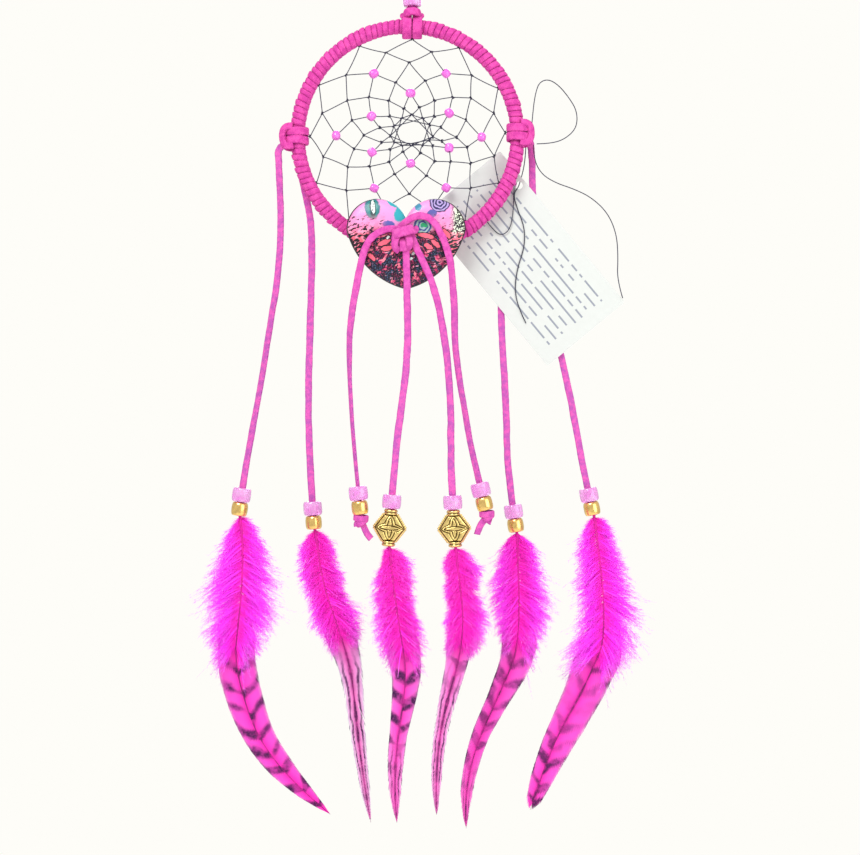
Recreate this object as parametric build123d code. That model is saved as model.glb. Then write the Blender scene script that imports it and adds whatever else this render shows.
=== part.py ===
from build123d import *
import math
import os

# A dream catcher: a lace-wrapped metal ring with a thread web, a puffed heart, eight bead-and-feather
# tassels and a swing tag, hanging from a lace loop.
#
# Millimetres. +Z is up, +X is to the right and the front faces -Y. Everything is drawn about the
# ring's centre, and save() lowers it so that the origin is the inside top of the hanging loop.

# ---- Driving dimensions -------------------------------------------------------------------------

HOOK_TO_CENTRE = 140.0   # inside top of the hanging loop down to the ring's centre

RING_RADIUS = 50.0       # centre line of the four-inch metal ring
CORE_RADIUS = 2.0        # its wire
LACE_WIDTH = 3.2         # flat suede lace
LACE_THICK = 1.4
LACE_RADIUS = 1.5        # the plain round tube that stands for a hanging lace
WRAP_RADIUS = CORE_RADIUS + LACE_THICK
WRAP_GAP_DEG = 0.6       # the wrap's two ends, under the heart's binding
CLEAR = 0.3              # between pieces that move past each other
SNUG = 0.05              # between pieces that sit together and stay

BAND_GAP = 0.8           # between the two turns of a knot, where the web thread passes
BAND_INNER = WRAP_RADIUS + 0.2
TOP_BAND_INNER = WRAP_RADIUS + 0.45   # the ring turns in this knot, and the ring is curved
TOP_KNOT_X = 2.1
LEFT_KNOT_Z = 0.0
RIGHT_KNOT_Z = 1.7
KNOT_BITE = 0.5          # how far a knot's straight pieces run into its turns
KNOT_BAR = 2.6           # thickness of a side knot's outer crossbar
KNOT_BAR_HALF = 2.3      # half its depth
KNOT_BAR_ROUND = 1.0
LEFT_BAR_Z = (-6.2, 2.6)
RIGHT_BAR_Z = (-2.5, 3.9)
LEFT_STARTS = {1: (-57.0, 0, -2.5), 2: (-50.6, 5.0, -1.5)}   # where each tassel's lace leaves its knot
RIGHT_STARTS = {7: (50.6, 5.0, 0.8), 8: (56.0, 1.2, 0.8)}
RIGHT_TURN_Z = 0.7       # the right knot's laces turn down here
TOP_BAR_Y = (-4.4, -1.8)
TOP_BAR_ROUND = 0.9
STANDING_HALF = 1.9      # half the depth of two laces, one behind the other
TAIL_RADIUS = 1.4        # a knot's cut end
END_KNOT_RADIUS = 2.5
LOOP_KNOT_RADIUS = 3.6

WEB_THREAD = 0.5
WEB_TIES_DEG = [0, 30, 62, 88, 117, 146, 176, -145, -117, -90, -60, -28]
WEB_ROWS = [(40.5, 40.0, 34.0), (33.0, 34.0, 26.0), (27.0, 26.5, 17.5), (21.0, 20.0, 12.0),
            (14.5, 14.0, 7.0), (8.5, 9.0, 2.5)]   # half width, height above and below the centre
WEB_BEAD_RADIUS = 2.0
WEB_BEAD_ROWS = (2, 4)   # every other node of these rows carries a bead

PONY_RADIUS = 4.3        # 9 mm pony bead
PONY_HEIGHT = 6.3
PONY_BORE = 2.1
PONY_EDGE = 2.0
GOLD_RADIUS = 3.75
GOLD_HEIGHT = 6.1
GOLD_EDGE = 1.7
LACE_BORE = LACE_RADIUS + 0.25
QUILL_RADIUS = 0.85
QUILL_IN = 2.4           # how far a quill sits in its bead
DIAMOND_WIDTH = 15.0
DIAMOND_HEIGHT = 16.7
DIAMOND_SHOULDER = 6.6   # where its flat sides meet the collars, from the middle
DIAMOND_THICK = 5.4
DIAMOND_COLLAR = 3.0
DIAMOND_LACE_IN = 5.0    # how far the lace sits in a diamond bead

HEART_BACK = -5.4        # the heart's depth, in Y
HEART_FRONT = -13.2
HEART_X = -0.6
HEART_LOBE = 14.0        # radius of each lobe
HEART_LOBE_OUT = 13.0    # lobe centre from the middle
HEART_LOBE_Z = -43.5
HEART_SIDE = (18.6, -59.5)
HEART_TIP_Z = -70.5
HEART_DOME = 2.9         # how far each face falls from the middle to the rim
HEART_HOLE_Z = -47.7
HEART_HOLE = 2.2
HEART_KNOT_DEEP = 3.6    # how far the heart's knot stands off its front
HEART_KNOT_ROUND = 1.4
HEART_LOBE_KNOT = 1.3    # radius of the knot's two small lobes
HEART_KNOT_LOBES = (-3.9, 2.3)   # from the heart's middle
HEART_LACES_BITE = 0.7   # how far the laces through the hole run into the turn round the ring

CARD_WIDTH = 46.0
CARD_LENGTH = 90.0
CARD_THICK = 0.4
CARD_FRONT = 5.2
CARD_CENTRE = (53.2, -55.3)
CARD_TILT = 50.4         # the long side below the horizontal, degrees
CARD_HOLE = (51.1, -21.7)
CARD_HOLE_RADIUS = 1.75
TAG_THREAD_RADIUS = 0.225

DOWN_THICK = 6.0         # a feather's fluffy upper part
VANE_THICK = 1.2

# ---- Strands ------------------------------------------------------------------------------------
# Each hangs in one plane of constant Y. The first point is the pivot where it swings from its knot,
# and the last is the centre of the bead at its end, so the last run is the line that the beads are on.

HEART_LACE_Y = HEART_FRONT - LACE_RADIUS - 0.1
BEHIND_RING_Y = WRAP_RADIUS + LACE_RADIUS + CLEAR
BEHIND_CARD_Y = CARD_FRONT + CARD_THICK + LACE_RADIUS + 0.5

STRANDS = {
    1: {"y": 0.0, "end": "gold",
        "route": [(-58.9, -12), (-58.3, -26), (-57.8, -42), (-59, -62), (-63, -88), (-66.9, -112), (-70.9, -134),
                  (-74, -150.5), (-76.7, -170.1)]},
    2: {"y": BEHIND_RING_Y, "end": "gold",
        "route": [(-50.6, -8), (-48.3, -20), (-45.4, -32.5), (-43.8, -46), (-44.3, -72), (-45.3, -98),
                  (-45.8, -124), (-44.9, -150.5), (-43.2, -176.5)]},
    3: {"y": HEART_LACE_Y, "end": "knot",
        "route": [(-20.5, -57.3), (-23.4, -72), (-25.6, -86), (-26.3, -99), (-25.6, -119), (-24.1, -142.5),
                  (-21.3, -168.9)]},
    4: {"y": HEART_LACE_Y, "end": "diamond",
        "route": [(-0.3, -57.3), (-0.1, -74), (0.3, -92), (-0.5, -107), (-2.9, -125), (-5.6, -148),
                  (-7.9, -177.9)]},
    5: {"y": HEART_LACE_Y, "end": "diamond",
        "route": [(6.6, -57.3), (11.4, -68), (14.7, -81), (17.4, -97), (18.9, -113), (19.6, -130), (19.5, -151),
                  (21.1, -178.3)]},
    6: {"y": HEART_LACE_Y, "end": "knot",
        "route": [(19.3, -57.3), (20.9, -73), (21.2, -89), (22.1, -104), (25, -121), (29, -145), (34.6, -167.1)]},
    7: {"y": BEHIND_CARD_Y, "end": "gold",
        "route": [(50.5, -6), (48.4, -22), (45, -42), (42.9, -62), (42.9, -84), (44.5, -111), (45.5, -133),
                  (45.9, -153), (49.6, -177.9)]},
    8: {"y": BEHIND_CARD_Y, "end": "gold",
        "route": [(57.1, -6), (57.3, -21), (58.3, -39), (61.2, -59), (65.6, -80), (71, -102), (75.4, -122),
                  (79.9, -147.5), (84.7, -170.2)]},
}

# The fixed laces on the heart's front, from its knot to the pivots of strands 3 to 6.
HEART_LACES = {
    3: [(-3.6, -43.8), (-9.5, -43.6), (-14.6, -46), (-18.3, -50.3), (-20.0, -55.5)],
    4: [(-1.2, -45.5), (-1.1, -50.5), (-0.4, -55.4)],
    5: [(2.0, -46), (3.2, -51), (5.8, -55.7)],
    6: [(-3.4, -43.4), (0.2, -39.2), (5.8, -37.2), (11, -39.4), (14.6, -44.6), (17.3, -50.6), (18.9, -55.4)],
}

# ---- Feathers -----------------------------------------------------------------------------------
# shaft: X, Z of points down the shaft, the first just under its bead. vane and down: half widths there.

FEATHERS = {
    1: {"shaft": [(-76.9, -174), (-75.3, -193), (-76.7, -216), (-78.5, -239), (-74.4, -257.3), (-68.5, -273),
                  (-56.2, -289.5), (-42.5, -302), (-34.7, -309.4)],
        "vane": [1, 3, 6, 9, 9, 8.5, 7, 4, 0.5], "down": [3, 14, 16, 10, 1]},
    2: {"shaft": [(-43, -180.2), (-41.1, -193.4), (-36.5, -211.6), (-29.7, -230), (-25.6, -248), (-23.7, -266.4),
                  (-21.5, -284.7), (-19.2, -300.7), (-16.9, -314.4)],
        "vane": [1, 2, 4, 6, 6, 5.5, 4.5, 3, 0.5], "down": [3, 10, 10.5, 9, 1]},
    4: {"shaft": [(-8.6, -187), (-6.6, -202.5), (-3.7, -220.8), (-0.9, -236.8), (-1.4, -252.7), (-4.1, -271),
                  (-5.5, -289.3), (-4.6, -310.7)],
        "vane": [1, 3, 6, 8, 6, 4, 3, 0.5], "down": [3, 10, 12, 9, 1]},
    5: {"shaft": [(21.6, -187.4), (23.4, -202.5), (25.1, -220.8), (22.8, -236.8), (18.7, -252.7), (15.1, -268.7),
                  (13.2, -287), (13.2, -307.1)],
        "vane": [1, 3, 5, 6, 5, 4, 3, 0.5], "down": [3, 9, 9.5, 8, 1]},
    7: {"shaft": [(50.1, -181.6), (50.9, -202.5), (51.1, -220.8), (48.4, -239), (41.1, -257.3), (32.9, -275.6),
                  (27.9, -293.8), (26.9, -317.6)],
        "vane": [1, 3, 6, 8, 7.5, 5, 3, 0.5], "down": [3, 13, 14, 10, 1]},
    8: {"shaft": [(85.4, -173.9), (87.8, -193.4), (90, -211.6), (89.2, -230), (84, -246), (75.3, -262),
                  (67.1, -278), (61.2, -293.8), (56.2, -308.9)],
        "vane": [1, 3, 6, 9, 10, 8, 6, 3.5, 0.5], "down": [3, 13, 16, 14, 1]},
}

# ---- Hanging loop and tag thread ----------------------------------------------------------------

KNOT_TOP_Z = 59.0        # top of the standing laces in the top knot, under the hanger's bead
HANGER_BEAD_Z = KNOT_TOP_Z + 0.2 + PONY_HEIGHT / 2
STEM_RADIUS = 1.9        # two laces side by side in the bead
LOOP_FOOT_Z = 67.2
LOOP_ROUTE = [(1.0, LOOP_FOOT_Z), (-2.2, 76.5), (-7.6, 91), (-11.2, 108), (-11, 127), (-7.4, 138.8), (0, 142.3),
              (7.6, 138.6), (11.6, 126), (12.3, 107), (9.6, 90), (5.8, 76), (3.2, LOOP_FOOT_Z)]
LOOP_KNOT = (12.2, 112)

FRONT_OF_CARD_Y = CARD_FRONT - TAG_THREAD_RADIUS - 0.12
UNDER_THREAD_Y = FRONT_OF_CARD_Y - 2 * TAG_THREAD_RADIUS - 0.12
BACK_OF_CARD_Y = CARD_FRONT + CARD_THICK + TAG_THREAD_RADIUS + 0.05
LONG_THREAD_Y = CARD_FRONT - TAG_THREAD_RADIUS - 0.475   # the card swings behind it
THREAD_LOOP = [(56.6, 0, 4.4), (57.3, 0, 12.6), (58.3, 0, 19.4), (60, 0, 24.6), (64, 0, 26.2), (68.7, 0, 23.6),
               (73.6, 0, 17.8), (77.4, 0, 11.4), (77.2, 0, 3.8), (71.6, 0, -1.4), (64.9, 0, -3.3), (58.9, 0, -3.4)]
THREAD_LONG = [(57.5, 2, -3.6), (57.7, 2.4, -10), (61.2, 3.4, -16.8), (68, 4.2, -20.8), (76, LONG_THREAD_Y, -23.4),
               (84, LONG_THREAD_Y, -27.2), (91.6, LONG_THREAD_Y, -34.2), (95.8, LONG_THREAD_Y, -44),
               (96.5, LONG_THREAD_Y, -55), (96, LONG_THREAD_Y, -65), (98.6, LONG_THREAD_Y, -73.6)]
THREAD_SHORT = [(54.2, 4.6, -2.2), (54.2, BACK_OF_CARD_Y + 0.2, -6), (53.4, BACK_OF_CARD_Y + 0.1, -13.4),
                (51.6, BACK_OF_CARD_Y, -20), (50.7, FRONT_OF_CARD_Y, -22.7),
                (48.4, FRONT_OF_CARD_Y, -26), (50.4, FRONT_OF_CARD_Y, -33), (53.6, FRONT_OF_CARD_Y, -41),
                (53.6, FRONT_OF_CARD_Y, -50), (50.2, FRONT_OF_CARD_Y, -60), (49, FRONT_OF_CARD_Y, -70),
                (51, FRONT_OF_CARD_Y, -78.4), (54.2, FRONT_OF_CARD_Y, -85)]
THREAD_CURL = [(50.6, UNDER_THREAD_Y, -2.2), (50, UNDER_THREAD_Y, -12), (48.6, UNDER_THREAD_Y, -24),
               (48.4, UNDER_THREAD_Y, -34), (46.9, UNDER_THREAD_Y, -42.2), (43, UNDER_THREAD_Y, -45),
               (39.2, UNDER_THREAD_Y, -42.3), (35.6, UNDER_THREAD_Y, -37.6)]

TAG_THREADS = {"loop": THREAD_LOOP, "long": THREAD_LONG, "short": THREAD_SHORT, "curl": THREAD_CURL}

os.makedirs("parts", exist_ok=True)


# ---- Helpers ------------------------------------------------------------------------------------

def save(name, shape):
    """Write one named piece, lowered so that the origin is at the hook."""
    export_step(shape.moved(Location((0, 0, -HOOK_TO_CENTRE))), f"parts/{name}.step")


def in_plane(y, points):
    """X, Z pairs as points in the plane at that depth."""
    return [Vector(x, y, z) for x, z in points]


def corner_radii(points):
    """The largest arc that the two runs at each corner leave room for."""
    radii = []
    for before, corner, after in zip(points, points[1:], points[2:]):
        shorter = min((corner - before).length, (after - corner).length)
        half_turn = math.radians((corner - before).get_angle(after - corner)) / 2
        radii.append(0.45 * shorter / math.tan(half_turn))
    return radii


def tube(name, points, radius):
    """A round tube along straight runs joined by tangent arcs."""
    points = [Vector(*p) for p in points]
    radii = corner_radii(points)
    path = FilletPolyline(*points, radius=radii)
    solid = sweep(Plane(origin=path @ 0, z_dir=path % 0) * Circle(radius), path=path)
    share = solid.volume / (math.pi * radius ** 2 * path.length)
    print(f"{name}: length {path.length:.1f}, least radius {min(radii):.1f}, volume ratio {share:.3f}")
    return solid


def rod(start, end, radius):
    """A straight round bar between two points."""
    start = Vector(*start)
    run = Vector(*end) - start
    return extrude(Plane(origin=start, z_dir=run.normalized()) * Circle(radius), run.length)


def ball(centre, radius):
    return Pos(*centre) * Sphere(radius)


def block(low, high):
    """A box between two opposite corners."""
    size = [b - a for a, b in zip(low, high)]
    middle = [(a + b) / 2 for a, b in zip(low, high)]
    return Pos(*middle) * Box(*size)


def hung(strand):
    """The plane of a strand's end bead: its centre, and Z up along the lace."""
    *_, before, centre = in_plane(strand["y"], strand["route"])
    return Plane(origin=centre, x_dir=(0, 1, 0), z_dir=(before - centre).normalized())


def end_height(strand):
    return DIAMOND_HEIGHT if strand["end"] == "diamond" else GOLD_HEIGHT


# ---- Ring and knots -----------------------------------------------------------------------------

def ring_core():
    return Rot(90, 0, 0) * Torus(RING_RADIUS, CORE_RADIUS)


def ring_wrap():
    section = Plane.YZ * Pos(0, -RING_RADIUS) * (Circle(WRAP_RADIUS) - Circle(CORE_RADIUS + SNUG))
    wrap = revolve(section, Axis.Y, 360 - WRAP_GAP_DEG)
    return Rot(0, WRAP_GAP_DEG / 2 - math.degrees(HEART_X / RING_RADIUS), 0) * wrap


def band(centre, axis, inner):
    """One turn of lace around the wrapped ring."""
    ring = Circle(inner + LACE_THICK) - Circle(inner)
    return extrude(Plane(origin=centre, z_dir=axis) * ring, LACE_WIDTH / 2, both=True)


def band_pair(centre, axis, inner):
    centre, axis = Vector(*centre), Vector(*axis)
    shift = axis * ((LACE_WIDTH + BAND_GAP) / 2)
    return band(centre + shift, axis, inner), band(centre - shift, axis, inner)


def top_knot():
    """A lark's head: two turns, the standing laces and the crossbar in front of them."""
    first, second = band_pair((TOP_KNOT_X, 0, RING_RADIUS), (1, 0, 0), TOP_BAND_INNER)
    half = LACE_WIDTH + BAND_GAP / 2
    band_top = RING_RADIUS + TOP_BAND_INNER + LACE_THICK
    inner = half - BAND_GAP / 2
    foot = band_top - KNOT_BITE
    standing = block((TOP_KNOT_X - inner, -STANDING_HALF, foot), (TOP_KNOT_X + inner, STANDING_HALF, KNOT_TOP_Z))
    front, back = TOP_BAR_Y
    bar = block((TOP_KNOT_X - half, front, band_top - 0.3), (TOP_KNOT_X + half, back, KNOT_TOP_Z - 0.3))
    bar = fillet(bar.edges(), TOP_BAR_ROUND)
    return first + second + standing + bar


def side_knot(side, middle, bar_z):
    """Two turns round the ring's side and a bar across them on the outside."""
    first, second = band_pair((side * RING_RADIUS, 0, middle), (0, 0, 1), BAND_INNER)
    inside = RING_RADIUS + BAND_INNER + LACE_THICK - KNOT_BITE
    outside = inside + KNOT_BAR
    low, high = sorted((side * inside, side * outside))
    bar = block((low, -KNOT_BAR_HALF, bar_z[0]), (high, KNOT_BAR_HALF, bar_z[1]))
    bar = fillet(bar.edges(), KNOT_BAR_ROUND)
    return first + second + bar


def left_knot():
    knot = side_knot(-1, LEFT_KNOT_Z, LEFT_BAR_Z)
    for number, start in LEFT_STARTS.items():
        knot += rod(start, hang_point(STRANDS[number], start), LACE_RADIUS)
    return knot


def right_knot():
    knot = side_knot(1, RIGHT_KNOT_Z, RIGHT_BAR_Z)
    for number, start in RIGHT_STARTS.items():
        strand = STRANDS[number]
        turn = (strand["route"][0][0], strand["y"], RIGHT_TURN_Z)
        knot += rod(start, turn, LACE_RADIUS)
        knot += ball(turn, LACE_RADIUS)
        knot += rod(turn, hang_point(strand, turn), LACE_RADIUS)
    return knot


def hang_point(strand, start):
    """Where a fixed lace from start ends, just clear of the ball at the strand's pivot."""
    x, z = strand["route"][0]
    pivot = Vector(x, strand["y"], z)
    return pivot + (Vector(*start) - pivot).normalized() * (LACE_RADIUS + CLEAR)


# ---- Web ----------------------------------------------------------------------------------------

def web_node(row, place):
    """Place 0 to 11 runs clockwise from the top, and odd rows sit half a step on."""
    turn = math.radians(30 * place + (15 if row % 2 else 0))
    across, above, below = WEB_ROWS[row - 1]
    height = above if math.cos(turn) > 0 else below
    return across * math.sin(turn), height * math.cos(turn)


def web_ties():
    """Where the thread meets the ring, with the run-in that passes between a knot's two turns."""
    reach = RING_RADIUS - WRAP_RADIUS - WEB_THREAD / 2 - SNUG
    shy = RING_RADIUS - TOP_BAND_INNER - LACE_THICK - 1.0
    ties = []
    for place, degrees in enumerate(WEB_TIES_DEG):
        turn = math.radians(degrees)
        tie = (reach * math.sin(turn), reach * math.cos(turn))
        if place == 0:
            tie, start = (TOP_KNOT_X, reach - SNUG), (TOP_KNOT_X, shy)
        elif place == 3:
            tie, start = (reach - SNUG, RIGHT_KNOT_Z), (shy, RIGHT_KNOT_Z)
        elif place == 9:
            tie, start = (-reach, LEFT_KNOT_Z), (-shy, LEFT_KNOT_Z)
        else:
            start = tie
        ties.append((tie, start))
    return ties


def string(a, b):
    """One flat run of thread in the web's plane, with round ends."""
    slope = math.degrees(math.atan2(b[1] - a[1], b[0] - a[0]))
    slot = SlotCenterToCenter(math.dist(a, b), WEB_THREAD, rotation=slope)
    return slot.moved(Location(((a[0] + b[0]) / 2, (a[1] + b[1]) / 2, 0)))


def web():
    """Looped net: each row hangs from the middles of the row outside it."""
    runs = []
    ties = web_ties()
    for tie, start in ties:
        if tie != start:
            runs.append(string(tie, start))
    for place, (_, start) in enumerate(ties):
        runs.append(string(start, web_node(1, place)))
        runs.append(string(start, web_node(1, place - 1)))
    for row in range(2, len(WEB_ROWS) + 1):
        for place in range(12):
            other = place - 1 if row % 2 == 0 else place + 1
            runs.append(string(web_node(row, place), web_node(row - 1, place)))
            runs.append(string(web_node(row, place), web_node(row - 1, other)))
    for place in range(12):
        runs.append(string(web_node(len(WEB_ROWS), place), web_node(len(WEB_ROWS), place + 1)))
    net = runs[0].fuse(*runs[1:])
    return extrude(Plane.XZ * net, WEB_THREAD / 2, both=True)


def web_beads():
    beads = []
    for row in WEB_BEAD_ROWS:
        first = 1 if row == 2 else 0
        for place in range(first, 12, 2):
            x, z = web_node(row, place)
            beads.append(ball((x, 0, z), WEB_BEAD_RADIUS))
    return Compound(beads)


# ---- Heart --------------------------------------------------------------------------------------

def heart_outline():
    left = (HEART_X - HEART_LOBE_OUT - HEART_LOBE, HEART_LOBE_Z)
    right = (HEART_X + HEART_LOBE_OUT + HEART_LOBE, HEART_LOBE_Z)
    notch = (HEART_X, HEART_LOBE_Z + math.sqrt(HEART_LOBE ** 2 - HEART_LOBE_OUT ** 2))
    tip = (HEART_X, HEART_TIP_Z)
    top = HEART_LOBE_Z + HEART_LOBE
    side_x, side_z = HEART_SIDE
    edges = [
        ThreePointArc(left, (HEART_X - HEART_LOBE_OUT, top), notch),
        ThreePointArc(notch, (HEART_X + HEART_LOBE_OUT, top), right),
        ThreePointArc(right, (HEART_X + side_x, side_z), tip),
        ThreePointArc(tip, (HEART_X - side_x, side_z), left),
    ]
    return make_face(Curve() + edges)


def heart():
    """The outline's thickness, domed on both faces."""
    reach = HEART_LOBE_OUT + HEART_LOBE
    dome = (reach ** 2 + HEART_DOME ** 2) / (2 * HEART_DOME)
    body = extrude(Plane.XZ.offset(-HEART_BACK) * heart_outline(), HEART_BACK - HEART_FRONT)
    body &= ball((HEART_X, HEART_FRONT + dome, HEART_HOLE_Z), dome)
    body &= ball((HEART_X, HEART_BACK - dome, HEART_HOLE_Z), dome)
    hole = rod((HEART_X, HEART_BACK + 1, HEART_HOLE_Z), (HEART_X, HEART_FRONT - 1, HEART_HOLE_Z), HEART_HOLE)
    return body - hole


def heart_binding():
    """A turn of lace round the ring's bottom and the laces through the heart's hole."""
    turn = band((HEART_X, 0, -RING_RADIUS), (1, 0, 0), BAND_INNER)
    surface = -math.sqrt((BAND_INNER + LACE_THICK) ** 2 - (RING_RADIUS + HEART_HOLE_Z) ** 2)
    start = (HEART_X, surface + HEART_LACES_BITE, HEART_HOLE_Z)
    return turn + rod(start, (HEART_X, HEART_FRONT, HEART_HOLE_Z), HEART_HOLE - 0.2)


def heart_knot():
    """A crossbar and two lobes on the heart's front."""
    bar = block((HEART_X - 4.0, HEART_FRONT - HEART_KNOT_DEEP, -49.2), (HEART_X + 3.8, HEART_FRONT, -41.6))
    knot = fillet(bar.edges(), HEART_KNOT_ROUND)
    for shift in HEART_KNOT_LOBES:
        top, end = ((HEART_X + shift, HEART_LACE_Y, z) for z in (-47, -52))
        knot += rod(top, end, HEART_LOBE_KNOT) + ball(end, HEART_LOBE_KNOT)
    return knot


# ---- Beads and feathers -------------------------------------------------------------------------

def barrel(radius, height, edge):
    return fillet(Cylinder(radius, height).edges().filter_by(GeomType.CIRCLE), edge)


def pony_bead():
    return barrel(PONY_RADIUS, PONY_HEIGHT, PONY_EDGE) - Cylinder(PONY_BORE, PONY_HEIGHT + 1)


def gold_bead(through):
    bead = barrel(GOLD_RADIUS, GOLD_HEIGHT, GOLD_EDGE)
    if through:
        return bead - Cylinder(LACE_BORE, GOLD_HEIGHT + 1)
    socket = rod((0, 0, -CLEAR), (0, 0, GOLD_HEIGHT), LACE_BORE)
    return bead - socket - rod((0, 0, -GOLD_HEIGHT), (0, 0, 0), QUILL_RADIUS + SNUG)


def diamond_bead():
    """A rhombus with its top and bottom cut off, and a collar at each end of the bore."""
    side, top, shoulder = DIAMOND_WIDTH / 2, DIAMOND_COLLAR, DIAMOND_SHOULDER
    corners = [(side, 0), (top, shoulder), (-top, shoulder), (-side, 0), (-top, -shoulder), (top, -shoulder)]
    rhombus = Plane.YZ * make_face(Polyline(*corners, close=True))
    body = extrude(rhombus, DIAMOND_THICK / 2, both=True) + Cylinder(DIAMOND_COLLAR, DIAMOND_HEIGHT)
    half = DIAMOND_HEIGHT / 2
    socket = rod((0, 0, half - DIAMOND_LACE_IN - CLEAR), (0, 0, half + 1), LACE_BORE)
    return body - socket - rod((0, 0, -half - 1), (0, 0, 0), QUILL_RADIUS + SNUG)


def leaf(shaft, widths, y, thick):
    """A flat body that follows the shaft, with these half widths."""
    shaft = [Vector(x, z) for x, z in shaft[:len(widths)]]
    left, right = [], []
    for n, (point, half) in enumerate(zip(shaft, widths)):
        along = (shaft[min(n + 1, len(shaft) - 1)] - shaft[max(n - 1, 0)]).normalized()
        across = Vector(-along.Y, along.X) * half
        left.append(point + across)
        right.append(point - across)
    edges = [Spline(*left), Line(left[-1], right[-1]), Spline(*right), Line(left[0], right[0])]
    return extrude(Plane.XZ.offset(-y) * make_face(Curve() + edges), thick / 2, both=True)


def feather(number):
    strand, shape = STRANDS[number], FEATHERS[number]
    down = leaf(shape["shaft"], shape["down"], strand["y"], DOWN_THICK)
    vane = leaf(shape["shaft"], shape["vane"], strand["y"], VANE_THICK)
    bead = hung(strand)
    half = end_height(strand) / 2
    quill = rod(bead.from_local_coords((0, 0, QUILL_IN - half)), bead.from_local_coords((0, 0, -half - 5)),
                QUILL_RADIUS)
    return down + vane + quill


def end_knot(number):
    """The overhand knot under the gold bead of a tassel with no feather, and its cut end."""
    strand = STRANDS[number]
    bead = hung(strand)
    centre = bead.from_local_coords((0, 0, -GOLD_HEIGHT / 2 - 0.2 - END_KNOT_RADIUS))
    side = 1 if number == 3 else -1
    tail = centre + Vector(side * 4.4, 0, -8.4)
    stub = centre + Vector(side * -2.0, 0, -2.6)
    return ball(centre, END_KNOT_RADIUS) + rod(centre, tail, TAIL_RADIUS) + rod(centre, stub, TAIL_RADIUS)


# ---- Hanger and tag -----------------------------------------------------------------------------

def hanging_lace():
    stem = rod((TOP_KNOT_X, 0, KNOT_TOP_Z), (TOP_KNOT_X, 0, LOOP_FOOT_Z + 2.5), STEM_RADIUS)
    return stem + tube("hanging loop", in_plane(0, LOOP_ROUTE), LACE_RADIUS)


def loop_knot():
    x, z = LOOP_KNOT
    knot = ball((x, 0, z), LOOP_KNOT_RADIUS)
    for end in ((x + 7, 0, z - 7.5), (x + 3, -1, z - 10)):
        knot += rod((x, 0, z), end, TAIL_RADIUS)
    return knot


def tag_card():
    x, z = CARD_CENTRE
    card = Plane.XZ * Pos(x, z) * Rot(0, 0, -CARD_TILT) * RectangleRounded(CARD_LENGTH, CARD_WIDTH, 0.8)
    card -= Plane.XZ * Pos(*CARD_HOLE) * Circle(CARD_HOLE_RADIUS)
    return Pos(0, CARD_FRONT + CARD_THICK, 0) * extrude(card, CARD_THICK)


# ---- The whole object ---------------------------------------------------------------------------

save("ring_core", ring_core())
save("ring_wrap", ring_wrap())
save("web", web())
save("web_beads", web_beads())
save("top_knot", top_knot())
save("left_knot", left_knot())
save("right_knot", right_knot())
save("hanging_lace", hanging_lace())
save("hanger_bead", Pos(TOP_KNOT_X, 0, HANGER_BEAD_Z) * pony_bead())
save("loop_knot", loop_knot())
save("heart", heart())
save("heart_knot", heart_knot())
save("heart_binding", heart_binding())
save("tag_card", tag_card())
for name, route in TAG_THREADS.items():
    save(f"tag_thread_{name}", tube(f"tag thread {name}", route, TAG_THREAD_RADIUS))

for number, route in HEART_LACES.items():
    save(f"heart_lace_{number}", tube(f"heart lace {number}", in_plane(HEART_LACE_Y, route), LACE_RADIUS))

for number, strand in STRANDS.items():
    bead = hung(strand)
    half = end_height(strand) / 2
    points = in_plane(strand["y"], strand["route"])
    if strand["end"] == "knot":
        points[-1] = bead.from_local_coords((0, 0, -half - 0.2 - 0.4))
    elif strand["end"] == "diamond":
        points[-1] = bead.from_local_coords((0, 0, half - DIAMOND_LACE_IN))
    lace = tube(f"strand {number}", points, LACE_RADIUS) + ball(points[0], LACE_RADIUS)
    save(f"strand_{number}", lace)
    pony = bead.from_local_coords((0, 0, half + CLEAR + PONY_HEIGHT / 2))
    save(f"pony_bead_{number}", Plane(origin=pony, x_dir=bead.x_dir, z_dir=bead.z_dir) * pony_bead())
    if strand["end"] == "diamond":
        save(f"diamond_bead_{number}", bead * diamond_bead())
    else:
        save(f"gold_bead_{number}", bead * gold_bead(strand["end"] == "knot"))
    if strand["end"] == "knot":
        save(f"end_knot_{number}", end_knot(number))
    else:
        save(f"feather_{number}", feather(number))
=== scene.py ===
"""A dream catcher's looks, built round its CAD frame.

Shapes are worked out in millimetres about the ring's centre: X to the right, Z up, and the front is -Y.
piece() puts them into the row frame, in metres.
"""

import math

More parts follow.
